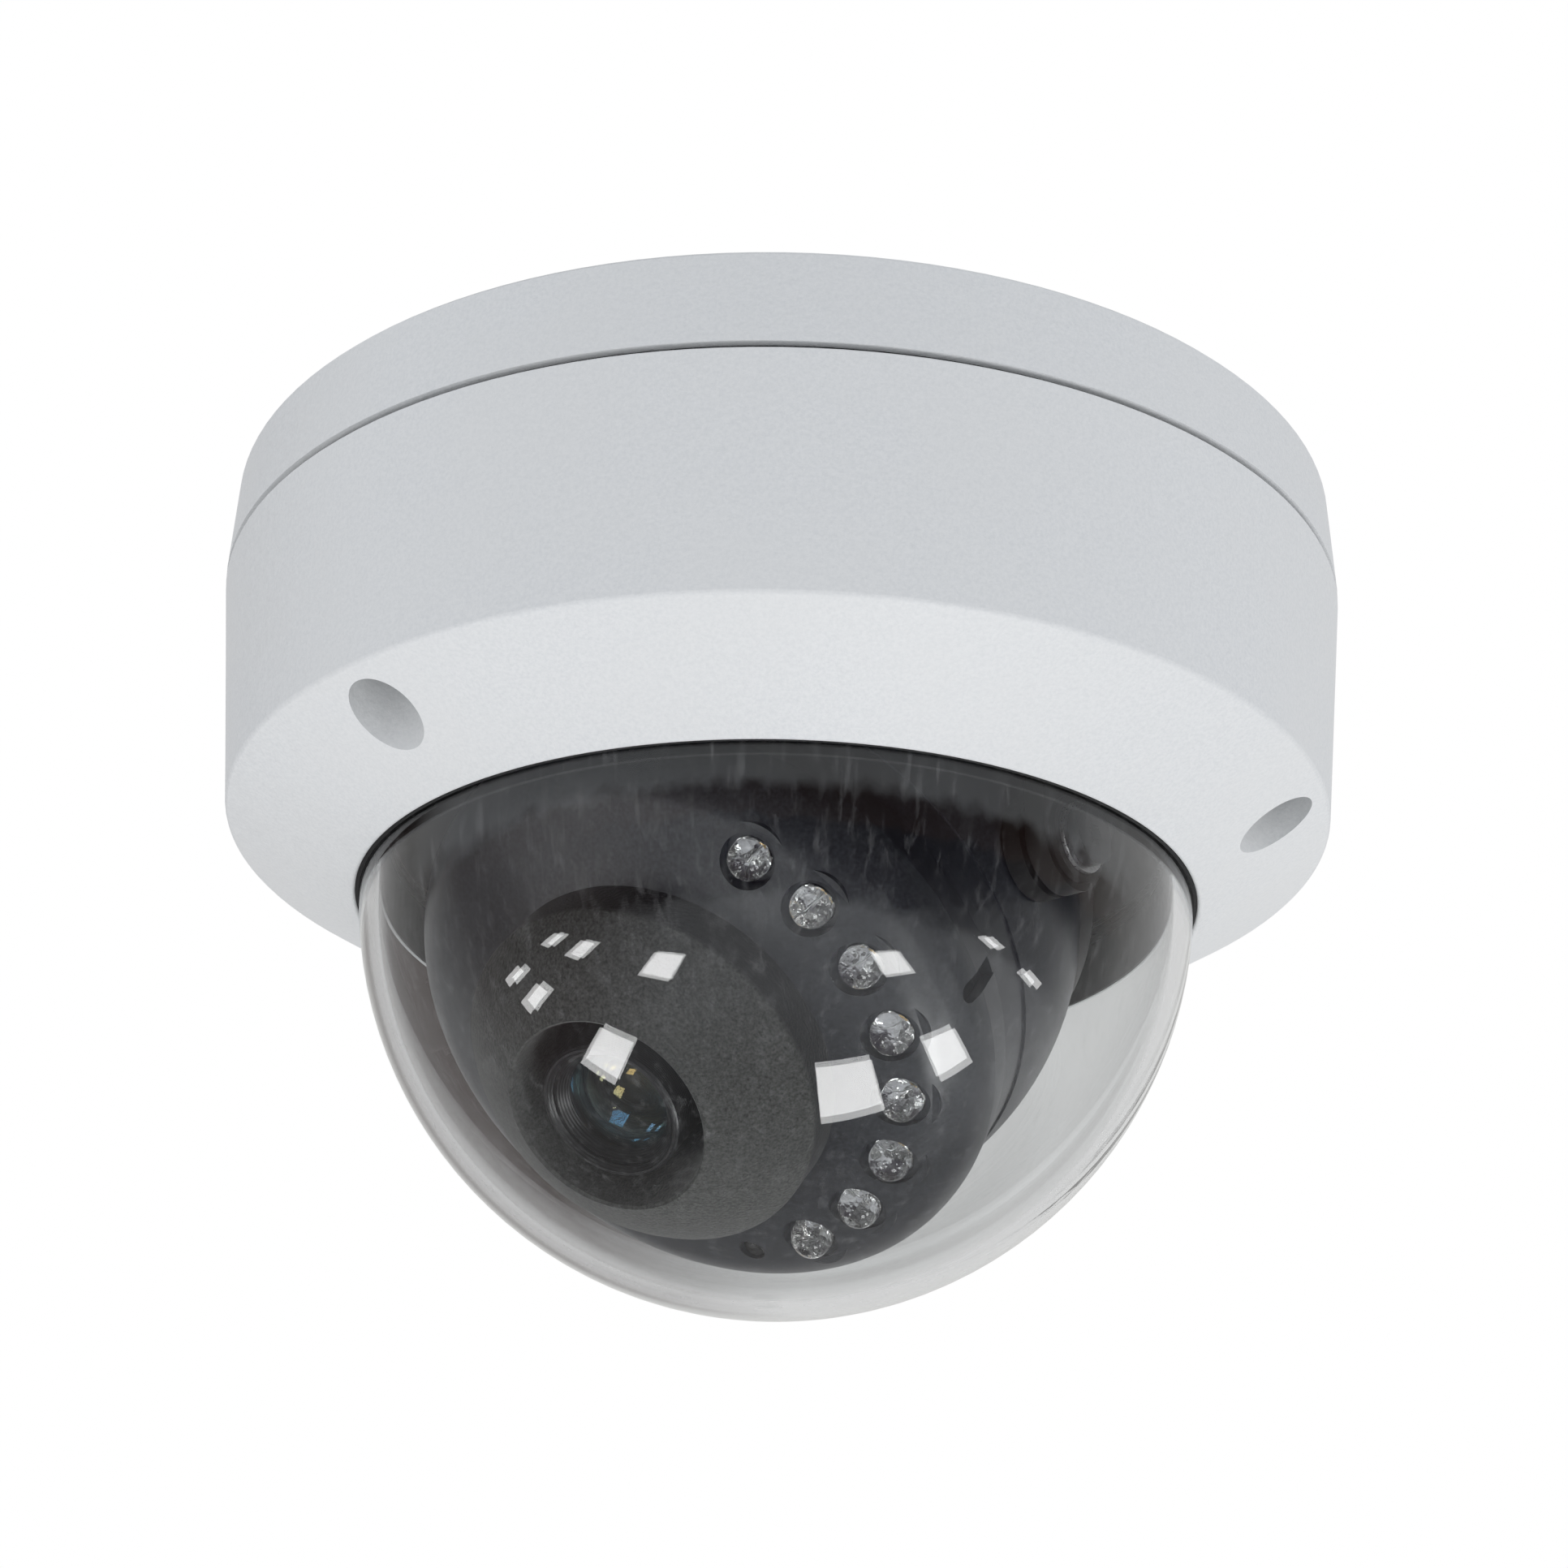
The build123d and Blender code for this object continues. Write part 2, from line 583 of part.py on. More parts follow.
with BuildPart() as shell_screws:
    for x, y in shell_screw_points:
        with Locations(Plane(origin=eye_plane.from_local_coords((x, y, 8.6)), z_dir=-LOOK)):
            add(pan_screw(2.3, 1.6, 1.25, 9.0))
finish_part(shell_screws, "shell_screws")

with BuildPart() as light_shield:
    # soft collar that closes the space between the lens and the dome
    with BuildSketch(eye_section):
        with BuildLine():
            Polyline((10.4, 31.6), (NOSE_R, 31.6), (NOSE_R, NOSE_TOP))
            ThreePointArc((NOSE_R, NOSE_TOP), (17.9, 42.4), (NOSE_HOLE_R + 0.3, NOSE_TIP))
            Polyline((NOSE_HOLE_R + 0.3, NOSE_TIP), (NOSE_HOLE_R, NOSE_TIP - 0.3), (10.4, 31.6))
        make_face()
    revolve(axis=LOOK_AXIS)
    fillet(light_shield.edges().filter_by(GeomType.CIRCLE).filter_by(
        lambda edge: abs(edge.radius - NOSE_R) < 0.01
        and edge.arc_center.sub(EYE).dot(LOOK) > NOSE_TOP - 0.1), 0.6)
finish_part(light_shield, "light_shield")

# lens
LENS_RIM_R = 8.7
LENS_RIM = 45.2
with BuildPart() as lens_barrel:
    with BuildSketch(eye_section):
        with BuildLine():
            Polyline((7.6, LENS_RIM - 0.6), (8.1, LENS_RIM), (LENS_RIM_R - 0.3, LENS_RIM),
                     (LENS_RIM_R, LENS_RIM - 0.3), (LENS_RIM_R, 38.0), (8.0, 37.4), (8.0, 33.2),
                     (7.2, 32.6), (7.2, 24.4), (6.0, 24.0), (6.0, 15.4), (4.2, 15.4),
                     (4.2, 17.6), (5.0, 18.4), (5.0, 38.4), (7.0, 38.8), (7.0, 42.6),
                     (7.6, 42.8), (7.6, LENS_RIM - 0.6))
        make_face()
    revolve(axis=LOOK_AXIS)
finish_part(lens_barrel, "lens_barrel")

with BuildPart() as lens_front_element:
    with BuildSketch(eye_section):
        with BuildLine():
            Line((0, 38.8), (7.0, 38.8))
            Line((7.0, 38.8), (7.0, 41.6))
            RadiusArc((7.0, 41.6), (0, 44.1), -cap_radius(7.0, 2.5))
            Line((0, 44.1), (0, 38.8))
        make_face()
    revolve(axis=LOOK_AXIS)
finish_part(lens_front_element, "lens_front_element")

with BuildPart() as lens_retaining_ring:
    with BuildSketch(eye_section):
        with BuildLine():
            Polyline((6.3, 42.8), (7.6, 42.8), (7.6, 44.3), (7.2, 44.5), (6.3, 43.2), (6.3, 42.8))
        make_face()
    revolve(axis=LOOK_AXIS)
finish_part(lens_retaining_ring, "lens_retaining_ring")

with BuildPart() as lens_rear_element:
    with BuildSketch(eye_section):
        with BuildLine():
            Line((0, 18.4), (5.0, 18.4))
            Line((5.0, 18.4), (5.0, 21.0))
            RadiusArc((5.0, 21.0), (0, 22.2), -cap_radius(5.0, 1.2))
            Line((0, 22.2), (0, 18.4))
        make_face()
    revolve(axis=LOOK_AXIS)
finish_part(lens_rear_element, "lens_rear_element")

# lens holder over the sensor, with a flat slot for the filter slider
HOLDER_BACK = SENSOR_BOARD + SENSOR_BOARD_T
HOLDER_FRONT = 15.2
SLOT_BACK = 9.2
SLOT_FRONT = 11.2
with BuildPart() as lens_holder:
    with BuildSketch(eye_plane.offset(HOLDER_BACK)):
        RectangleRounded(26.0, 14.0, 1.0)
        with Locations((0, 8.6), (0, -8.6)):
            Circle(2.6)
        with Locations((0, 7.6), (0, -7.6)):
            Rectangle(5.2, 3.0)
    extrude(amount=HOLDER_FRONT - HOLDER_BACK)
    with BuildSketch(eye_plane.offset(HOLDER_FRONT)):
        Circle(8.0)
    extrude(amount=8.0)
    with BuildSketch(eye_plane.offset(HOLDER_BACK)):
        Rectangle(11.0, 11.0)
    extrude(amount=2.6, mode=Mode.SUBTRACT)
    with BuildSketch(eye_plane.offset(HOLDER_BACK)):
        Rectangle(7.0, 7.0)
        with Locations((0, 8.6), (0, -8.6)):
            Circle(1.1)
    extrude(amount=5.0, mode=Mode.SUBTRACT)
    with BuildSketch(eye_plane.offset(SLOT_BACK)):
        Rectangle(23.0, 9.8)
    extrude(amount=SLOT_FRONT - SLOT_BACK, mode=Mode.SUBTRACT)
    with BuildSketch(eye_plane.offset(SLOT_BACK)):
        Circle(4.6)
    extrude(amount=20, mode=Mode.SUBTRACT)
    with BuildSketch(eye_plane.offset(15.4)):
        Circle(6.0)
    extrude(amount=20, mode=Mode.SUBTRACT)
finish_part(lens_holder, "lens_holder")

with BuildPart() as holder_screws:
    for y in (8.6, -8.6):
        with Locations(Plane(origin=eye_plane.from_local_coords((0, y, SENSOR_BOARD)),
                             z_dir=-LOOK)):
            add(pan_screw(1.9, 1.2, 1.1, 5.6))
finish_part(holder_screws, "holder_screws")

with BuildPart() as sensor_board:
    with BuildSketch(eye_plane.offset(SENSOR_BOARD)):
        RectangleRounded(31.0, 31.0, 2.0)
        with Locations(*sensor_post_points, (0, 8.6), (0, -8.6)):
            Circle(1.15, mode=Mode.SUBTRACT)
    extrude(amount=SENSOR_BOARD_T)
finish_part(sensor_board, "sensor_board")

with BuildPart() as sensor_board_screws:
    for x, y in sensor_post_points:
        with Locations(Plane(origin=eye_plane.from_local_coords((x, y, SENSOR_BOARD)),
                             z_dir=-LOOK)):
            add(pan_screw(1.9, 1.2, 1.0, 6.0))
finish_part(sensor_board_screws, "sensor_board_screws")

with BuildPart() as image_sensor:
    with BuildSketch(eye_plane.offset(HOLDER_BACK)):
        RectangleRounded(8.4, 7.6, 0.3)
    extrude(amount=1.3)
    with BuildSketch(eye_plane.offset(HOLDER_BACK + 1.3)):
        Rectangle(6.4, 5.2)
    extrude(amount=-0.2, mode=Mode.SUBTRACT)
finish_part(image_sensor, "image_sensor")

with BuildPart() as sensor_chips:
    for x, y, length, width in ((-8, 7.5, 6, 5), (8, -6.5, 7, 7), (-7.5, -6, 5, 4), (8, 8, 5, 4)):
        with BuildSketch(eye_plane.offset(SENSOR_BOARD)):
            with Locations((x, y)):
                Rectangle(length, width)
        extrude(amount=-1.1)
finish_part(sensor_chips, "sensor_chips")

with BuildPart() as lamp_board:
    with BuildSketch(eye_plane.offset(LAMP_BOARD)):
        Circle(34.2)
        Circle(24.6, mode=Mode.SUBTRACT)
        with Locations(*shell_screw_points):
            Circle(3.1, mode=Mode.SUBTRACT)
    extrude(amount=LAMP_BOARD_T)
finish_part(lamp_board, "lamp_board")

with BuildPart() as ir_lamps:
    for x, y in lamp_points:
        base = Plane(origin=eye_plane.from_local_coords((x, y, LAMP_BOARD + LAMP_BOARD_T)),
                     x_dir=TILT, z_dir=LOOK)
        section = Plane(origin=base.origin, x_dir=TILT, z_dir=TILT.cross(LOOK))
        height = LAMP_TIP - LAMP_BOARD - LAMP_BOARD_T
        with BuildSketch(section):
            with BuildLine():
                Polyline((0, 0), (2.9, 0), (2.9, 1.0), (LAMP_R, 1.0), (LAMP_R, height - LAMP_R))
                RadiusArc((LAMP_R, height - LAMP_R), (0, height), -LAMP_R)
                Line((0, height), (0, 0))
            make_face()
        revolve(axis=Axis(base.origin, LOOK))
finish_part(ir_lamps, "ir_lamps")

with BuildPart() as light_sensor:
    with Locations(Plane(origin=eye_plane.from_local_coords((*SENSOR_POINT,
                                                             LAMP_BOARD + LAMP_BOARD_T)),
                         z_dir=LOOK)):
        Cylinder(1.5, 5.6, align=(Align.CENTER, Align.CENTER, Align.MIN))
    fillet(light_sensor.edges().sort_by(LOOK_AXIS)[-1], 0.8)
finish_part(light_sensor, "light_sensor")

with BuildPart() as rear_cap:
    with BuildSketch(eye_plane.offset(NECK_END)):
        Circle(29.2)
        with Locations((0, -14)):
            SlotOverall(16.0, 5.0, mode=Mode.SUBTRACT)
    extrude(amount=1.8)
    with BuildSketch(eye_plane.offset(NECK_END + 1.8)):
        Circle(29.2)
        Circle(27.6, mode=Mode.SUBTRACT)
    extrude(amount=2.4)
finish_part(rear_cap, "rear_cap")

with BuildPart() as roll_retainer:
    # open spring ring in the groove of the neck
    with BuildSketch(eye_plane.offset(-18.8)):
        Circle(34.2)
        Circle(30.7, mode=Mode.SUBTRACT)
        with Locations((0, 33)):
            Rectangle(7, 8, mode=Mode.SUBTRACT)
    extrude(amount=1.3)
finish_part(roll_retainer, "roll_retainer")

# infrared filter slider inside the lens holder
SLIDER_MID = (SLOT_BACK + SLOT_FRONT) / 2
SLIDER_X = 3.6
with BuildPart() as filter_carrier:
    with BuildSketch(eye_plane.offset(SLIDER_MID - 0.7)):
        with Locations((SLIDER_X, 0)):
            RectangleRounded(15.2, 9.2, 0.6)
        with Locations((0, 0), (7.2, 0)):
            Rectangle(6.0, 6.6, mode=Mode.SUBTRACT)
    extrude(amount=1.4)
finish_part(filter_carrier, "filter_carrier")

with BuildPart() as ir_cut_filter:
    with BuildSketch(eye_plane.offset(SLIDER_MID - 0.3)):
        Rectangle(6.0, 6.6)
    extrude(amount=0.6)
finish_part(ir_cut_filter, "ir_cut_filter")

with BuildPart() as clear_window:
    with BuildSketch(eye_plane.offset(SLIDER_MID - 0.3)):
        with Locations((7.2, 0)):
            Rectangle(6.0, 6.6)
    extrude(amount=0.6)
finish_part(clear_window, "clear_window")

with BuildPart() as filter_coil:
    # bobbin: winding between two end plates
    for start, height, length in ((0, 0.6, 9.0), (0.6, 1.8, 7.4), (2.4, 0.6, 9.0)):
        with BuildSketch(eye_plane.offset(HOLDER_FRONT + start)):
            with Locations((10.6, 0)):
                RectangleRounded(length * 0.5, length, 0.8)
        extrude(amount=height)
finish_part(filter_coil, "filter_coil")

# ================================================================ removable cover
cone_slope = (SHOULDER_Z - OPENING_Z) / (SHOULDER_R - OPENING_R)
CONE_WALL = COVER_WALL * sqrt(1 + cone_slope**2)


def cone_inside(radius):
    """Height of the inner face of the cone at a radius."""
    return OPENING_Z + (radius - OPENING_R) * cone_slope + CONE_WALL


CLAMP_PCR = 61.2
CLAMP_BEARINGS = [-16 + 60 * k for k in range(6)]
FLANGE_TOP_Z = SEAT_Z + SEAL_T + FLANGE_T
inner_corner_r = SHOULDER_R - COVER_WALL - 0.4
with BuildPart() as cover_cavity:
    with BuildSketch(SECTION):
        with BuildLine():
            Polyline((0, COVER_RIM_Z), (PARTING_R - COVER_WALL, COVER_RIM_Z),
                     (inner_corner_r, cone_inside(inner_corner_r)),
                     (SEAT_R, cone_inside(SEAT_R)), (SEAT_R, SEAT_Z), (OPENING_R, SEAT_Z),
                     (OPENING_R, OPENING_Z - 1), (0, OPENING_Z - 1), (0, COVER_RIM_Z))
        make_face()
    revolve(axis=Axis.Z)
    # metal left standing for the screw wells and the clamp ring's bosses
    for bearing in SCREW_BEARINGS:
        with Locations((*polar(SCREW_PCR, bearing), COVER_RIM_Z)):
            Cylinder(WELL_R, 60, align=(Align.CENTER, Align.CENTER, Align.MAX), mode=Mode.SUBTRACT)
    for bearing in CLAMP_BEARINGS:
        with Locations((*polar(CLAMP_PCR, bearing), FLANGE_TOP_Z)):
            Cylinder(3.0, 20, align=(Align.CENTER, Align.CENTER, Align.MAX), mode=Mode.SUBTRACT)

with BuildPart() as cover_shell:
    with BuildSketch(SECTION):
        with BuildLine():
            Polyline((0, COVER_RIM_Z), (PARTING_R - RIM_EDGE, COVER_RIM_Z),
                     (PARTING_R, COVER_RIM_Z - RIM_EDGE), (SHOULDER_R, SHOULDER_Z),
                     (OPENING_R, OPENING_Z), (0, OPENING_Z), (0, COVER_RIM_Z))
        make_face()
    revolve(axis=Axis.Z)
    fillet(cover_shell.edges().filter_by(GeomType.CIRCLE).group_by(Axis.Z)[1], 0.7)
    add(cover_cavity.part, mode=Mode.SUBTRACT)
    # threaded holes for the clamp ring screws
    with BuildSketch(Plane.XY.offset(FLANGE_TOP_Z)):
        with Locations(*[polar(CLAMP_PCR, b) for b in CLAMP_BEARINGS]):
            Circle(1.25)
    extrude(amount=-3.0, mode=Mode.SUBTRACT)
    # deep wells for the cover screws
    for bearing in SCREW_BEARINGS:
        with Locations((*polar(SCREW_PCR, bearing), WELL_FLOOR_Z)):
            Cylinder(WELL_BORE_R, 60, align=(Align.CENTER, Align.CENTER, Align.MAX),
                     mode=Mode.SUBTRACT)
            Cylinder(SCREW_HOLE_R, 60, mode=Mode.SUBTRACT)
    fillet(cover_shell.edges().filter_by(GeomType.CIRCLE).filter_by(
        lambda edge: abs(edge.radius - OPENING_R) < 0.01).group_by(Axis.Z)[0], 0.4)
finish_part(cover_shell, "cover_shell")

with BuildPart() as dome_bubble:
    with BuildSketch(SECTION):
        with BuildLine():
            inner_r = DOME_R - DOME_WALL
            flange_low = SEAT_Z + SEAL_T
            RadiusArc((DOME_R, DOME_Z), (0, DOME_Z - DOME_R), DOME_R)
            Line((0, DOME_Z - DOME_R), (0, DOME_Z - inner_r))
            RadiusArc((0, DOME_Z - inner_r), (inner_r, DOME_Z), -inner_r)
            Polyline((inner_r, DOME_Z), (inner_r, FLANGE_TOP_Z - 0.8), (inner_r + 0.8, FLANGE_TOP_Z),
                     (FLANGE_R, FLANGE_TOP_Z), (FLANGE_R, flange_low), (DOME_R, flange_low),
                     (DOME_R, DOME_Z))
        make_face()
    revolve(axis=Axis.Z)
finish_part(dome_bubble, "dome_bubble")

with BuildPart() as dome_seal:
    with BuildSketch(SECTION):
        with BuildLine():
            lip_z = OPENING_Z + 0.45
            Polyline((DOME_R, SEAT_Z + SEAL_T), (FLANGE_R, SEAT_Z + SEAL_T), (FLANGE_R, SEAT_Z),
                     (OPENING_R, SEAT_Z), (OPENING_R, lip_z), (DOME_R, lip_z),
                     (DOME_R, SEAT_Z + SEAL_T))
        make_face()
    revolve(axis=Axis.Z)
finish_part(dome_seal, "dome_seal")

# outline shared by the clamp ring and the liner's foot: lobes at the screws, clear of the wells
with BuildSketch() as clamp_outline:
    Circle(CLAMP_OUT_R)
    with Locations(*[polar(CLAMP_PCR, b) for b in CLAMP_BEARINGS]):
        Circle(3.1)
    Circle(CLAMP_IN_R, mode=Mode.SUBTRACT)
    with Locations(*[polar(CLAMP_PCR, b) for b in CLAMP_BEARINGS]):
        Circle(1.35, mode=Mode.SUBTRACT)
    with Locations(*[polar(SCREW_PCR, b) for b in SCREW_BEARINGS]):
        Circle(WELL_R + 0.3, mode=Mode.SUBTRACT)

with BuildPart() as dome_clamp_ring:
    with BuildSketch(Plane.XY.offset(FLANGE_TOP_Z)):
        add(clamp_outline.sketch)
    extrude(amount=CLAMP_T)
finish_part(dome_clamp_ring, "dome_clamp_ring")

# dark collar that hides the bare inside of the cover, held by the clamp ring's screws
LINER_FOOT_Z = FLANGE_TOP_Z + CLAMP_T
with BuildPart() as inner_liner:
    with BuildSketch(Plane.XY.offset(LINER_FOOT_Z)):
        add(clamp_outline.sketch)
    extrude(amount=LINER_T)
    with BuildSketch(Plane.XY.offset(LINER_FOOT_Z)):
        Circle(LINER_R)
        Circle(LINER_R - LINER_T, mode=Mode.SUBTRACT)
    extrude(amount=LINER_TOP_Z - LINER_FOOT_Z)
finish_part(inner_liner, "inner_liner")

with BuildPart() as clamp_ring_screws:
    with Locations(*[(*polar(CLAMP_PCR, b), LINER_FOOT_Z + LINER_T) for b in CLAMP_BEARINGS]):
        add(pan_screw(2.4, 1.6, 1.25, 5.4))
finish_part(clamp_ring_screws, "clamp_ring_screws")

ORING_T = 1.0
HEAD_T = 2.8
SCREW_END_Z = -5.0
with BuildPart() as cover_screws:
    for bearing in SCREW_BEARINGS:
        head = hang(*polar(SCREW_PCR, bearing), WELL_FLOOR_Z - ORING_T)
        with BuildSketch(head):
            Circle(3.9)
        extrude(amount=HEAD_T, taper=12)
        with BuildSketch(head.offset(HEAD_T)):
            RegularPolygon(1.7, 6)
            Circle(0.5, mode=Mode.SUBTRACT)
        extrude(amount=-1.8, mode=Mode.SUBTRACT)
        with BuildSketch(head):
            Circle(SCREW_R)
        extrude(amount=WELL_FLOOR_Z - ORING_T - SCREW_END_Z)
finish_part(cover_screws, "cover_screws")

with BuildPart() as cover_screw_orings:
    with BuildSketch(Plane.XY.offset(WELL_FLOOR_Z)):
        with Locations(*[polar(SCREW_PCR, b) for b in SCREW_BEARINGS]):
            Circle(3.8)
            Circle(SCREW_R, mode=Mode.SUBTRACT)
    extrude(amount=-ORING_T)
finish_part(cover_screw_orings, "cover_screw_orings")
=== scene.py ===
import json
import math
import random

import bmesh
import bpy
from mathutils import Matrix, Vector


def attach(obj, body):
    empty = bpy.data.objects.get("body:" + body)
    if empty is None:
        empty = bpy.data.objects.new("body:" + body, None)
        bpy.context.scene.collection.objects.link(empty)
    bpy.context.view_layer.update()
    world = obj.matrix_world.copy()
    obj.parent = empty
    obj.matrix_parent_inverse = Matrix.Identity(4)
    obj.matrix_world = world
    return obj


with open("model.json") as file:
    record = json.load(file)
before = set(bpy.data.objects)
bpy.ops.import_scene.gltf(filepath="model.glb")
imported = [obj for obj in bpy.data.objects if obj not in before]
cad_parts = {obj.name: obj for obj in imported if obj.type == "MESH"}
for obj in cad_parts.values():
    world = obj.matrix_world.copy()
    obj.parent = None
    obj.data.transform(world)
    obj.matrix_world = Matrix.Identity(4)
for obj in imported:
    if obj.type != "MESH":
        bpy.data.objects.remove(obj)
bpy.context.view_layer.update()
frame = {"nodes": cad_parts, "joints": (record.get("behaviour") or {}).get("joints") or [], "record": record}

MM = 0.001
nodes = frame["nodes"]
joints = {joint["name"]: joint for joint in frame["joints"]}

# the eyeball's own axes: along the lens, along the tilt axis, and square to both
EYE = Vector(joints["roll"]["pos_m"])
LOOK = Vector(joints["roll"]["axis"]).normalized()
TILT = -Vector(joints["tilt"]["axis"]).normalized()
ACROSS = LOOK.cross(TILT)


# ---------------------------------------------------------------- camera
CAMERA_AT = Vector((-0.00178, -0.41996, -0.22219))
CAMERA_LOOKS = Vector((0.00544, 0.91347, 0.40686))
CAMERA_ROLL = math.radians(1.064)
CAMERA_LENS = 81.97
CAMERA_SENSOR = 36.0

camera = bpy.data.objects.new("camera", bpy.data.cameras.new("camera"))
bpy.context.scene.collection.objects.link(camera)
camera.location = CAMERA_AT
camera.rotation_mode = "QUATERNION"
level = CAMERA_LOOKS.to_track_quat("-Z", "Y").to_matrix()
camera.rotation_quaternion = (level @ Matrix.Rotation(CAMERA_ROLL, 3, "Z")).to_quaternion()
camera.data.lens = CAMERA_LENS
camera.data.sensor_width = CAMERA_SENSOR
camera.data.clip_start = 0.01
camera.data.clip_end = 50.0
bpy.context.scene.camera = camera
bpy.context.scene.view_settings.view_transform = "Standard"

# light crosses the dome, a lamp or the lens elements and comes back out the same way
cycles = bpy.context.scene.cycles
cycles.use_denoising = True
cycles.transparent_max_bounces = 24
cycles.max_bounces = 16
cycles.transmission_bounces = 16
cycles.glossy_bounces = 6


# ---------------------------------------------------------------- node helpers
def feed(tree, socket, value):
    """Set an input to a plain value, or link it from another socket."""
    if isinstance(value, bpy.types.NodeSocket):
        tree.links.new(value, socket)
    else:
        socket.default_value = value


def put(tree, kind, inputs=None, **settings):
    """Add a node; inputs hold plain values or the sockets to link from."""
    node = tree.nodes.new(kind)
    for name, value in settings.items():
        setattr(node, name, value)
    for name, value in (inputs or {}).items():
        feed(tree, node.inputs[name], value)
    return node


def rgb(red, green, blue):
    """Opaque colour."""
    return red, green, blue, 1.0


def start(name):
    """New empty material: its tree, its output node and the piece's own coordinates in metres."""
    material = bpy.data.materials.new(name)
    material.use_nodes = True
    tree = material.node_tree
    tree.nodes.clear()
    output = put(tree, "ShaderNodeOutputMaterial")
    place = put(tree, "ShaderNodeTexCoord").outputs["Object"]
    return material, tree, output, place


def noise(tree, place, size, detail=2.0, roughness=0.5):
    """Noise from 0 to 1 whose features are about this size in metres."""
    made = put(tree, "ShaderNodeTexNoise", {"Vector": place, "Scale": 1 / size, "Detail": detail,
                                            "Roughness": roughness})
    return made.outputs["Fac"]


def spread(tree, value, low, high, to_low, to_high):
    """Map a value's range to another, clamped."""
    made = put(tree, "ShaderNodeMapRange", {"Value": value, "From Min": low, "From Max": high,
                                            "To Min": to_low, "To Max": to_high})
    return made.outputs["Result"]


def mix(tree, factor, first, second):
    """Colour mix by socket position, since a Mix node repeats its input names."""
    made = put(tree, "ShaderNodeMix", data_type="RGBA")
    for number, value in ((0, factor), (6, first), (7, second)):
        feed(tree, made.inputs[number], value)
    return made.outputs[2]


def maths(tree, operation, first, second=0.0):
    """One operation on one or two numbers."""
    return put(tree, "ShaderNodeMath", {0: first, 1: second}, operation=operation).outputs[0]


def dot(tree, vector, axis):
    """How far a vector reaches along an axis."""
    made = put(tree, "ShaderNodeVectorMath", {0: vector, 1: axis}, operation="DOT_PRODUCT")
    return made.outputs["Value"]


def bump(tree, height, depth):
    """Bump of a height from 0 to 1, this many metres deep."""
    inputs = {"Height": height, "Distance": depth, "Strength": 1.0}
    return put(tree, "ShaderNodeBump", inputs).outputs["Normal"]


def principled(tree, output, **inputs):
    """The material's surface shader; an underscore stands for a space in an input's name."""
    named = {name.replace("_", " "): value for name, value in inputs.items()}
    shader = put(tree, "ShaderNodeBsdfPrincipled", named)
    tree.links.new(shader.outputs[0], output.inputs["Surface"])
    return shader


def let_lamps_through(tree, output, shader, tint):
    """Clear shader that lets light from lamps pass to what is behind it."""
    shadow = put(tree, "ShaderNodeBsdfTransparent", {"Color": tint})
    path = put(tree, "ShaderNodeLightPath")
    both = put(tree, "ShaderNodeMixShader", {"Fac": path.outputs["Is Shadow Ray"]})
    tree.links.new(shader.outputs[0], both.inputs[1])
    tree.links.new(shadow.outputs[0], both.inputs[2])
    tree.links.new(both.outputs[0], output.inputs["Surface"])


# ---------------------------------------------------------------- materials
SHIELD_EDGE = EYE.dot(LOOK) + 37.7 * MM     # where the light shield's wall meets its face
BARREL_RINGS = 21000.0      # turning marks on the lens barrel, radians per metre of its axis
COIL_TURNS = 42000.0        # wire of the filter's coil, radians per metre of the lens axis


def powder_coat():
    """White paint: fine orange peel with a slight grain."""
    material, tree, output, place = start("white_paint")
    peel = noise(tree, place, 0.0011, 2.0)
    grain = noise(tree, place, 0.00045, 3.0, 0.6)
    cloud = noise(tree, place, 0.02, 2.0)
    speck = spread(tree, grain, 0.30, 0.62, 0.0, 1.0)
    colour = mix(tree, speck, rgb(0.745, 0.76, 0.77), rgb(0.815, 0.825, 0.83))
    colour = mix(tree, spread(tree, cloud, 0.35, 0.65, 0.0, 0.35), colour, rgb(0.80, 0.805, 0.80))
    height = maths(tree, "ADD", maths(tree, "MULTIPLY", peel, 0.7), maths(tree, "MULTIPLY", grain, 0.3))
    principled(tree, output, Base_Color=colour, Roughness=spread(tree, peel, 0.3, 0.7, 0.40, 0.54),
               Normal=bump(tree, height, 0.00012), IOR=1.5)
    return material


def moulded(name, dark, light, rough, texture, depth):
    """Spark-textured plastic."""
    material, tree, output, place = start(name)
    fine = noise(tree, place, texture, 3.0, 0.6)
    cloud = noise(tree, place, 0.012, 3.0)
    colour = mix(tree, spread(tree, fine, 0.35, 0.65, 0.0, 1.0), dark, light)
    level = maths(tree, "ADD", spread(tree, fine, 0.3, 0.7, -0.04, 0.04),
                  spread(tree, cloud, 0.35, 0.65, rough - 0.03, rough + 0.04))
    principled(tree, output, Base_Color=colour, Roughness=level,
               Normal=bump(tree, fine, depth))
    return material


def foam():
    """Charcoal collar: grainy face, and painted shade that darkens the smooth wall below the rounded edge.
    """
    material, tree, output, place = start("shield_foam")
    grain = noise(tree, place, 0.00042, 4.0, 0.8)
    pores = put(tree, "ShaderNodeTexVoronoi", {"Vector": place, "Scale": 2600.0}).outputs["Distance"]
    colour = mix(tree, spread(tree, grain, 0.34, 0.66, 0.0, 1.0),
                 rgb(0.014, 0.014, 0.014), rgb(0.078, 0.079, 0.075))
    along = dot(tree, place, tuple(LOOK))
    # painted shade: the wall below the shield's rounded edge is coloured near-black, standing in for the
    # shadow that falls there
    wall_shade = spread(tree, along, SHIELD_EDGE - 0.6 * MM, SHIELD_EDGE + 0.2 * MM, 1.0, 0.0)
    colour = mix(tree, wall_shade, colour, rgb(0.006, 0.006, 0.007))
    height = maths(tree, "ADD", grain, maths(tree, "MULTIPLY", pores, 0.5))
    principled(tree, output, Base_Color=colour, Roughness=0.92,
               Normal=bump(tree, height, 0.00011), Sheen_Weight=0.15, Sheen_Roughness=0.5)
    return material


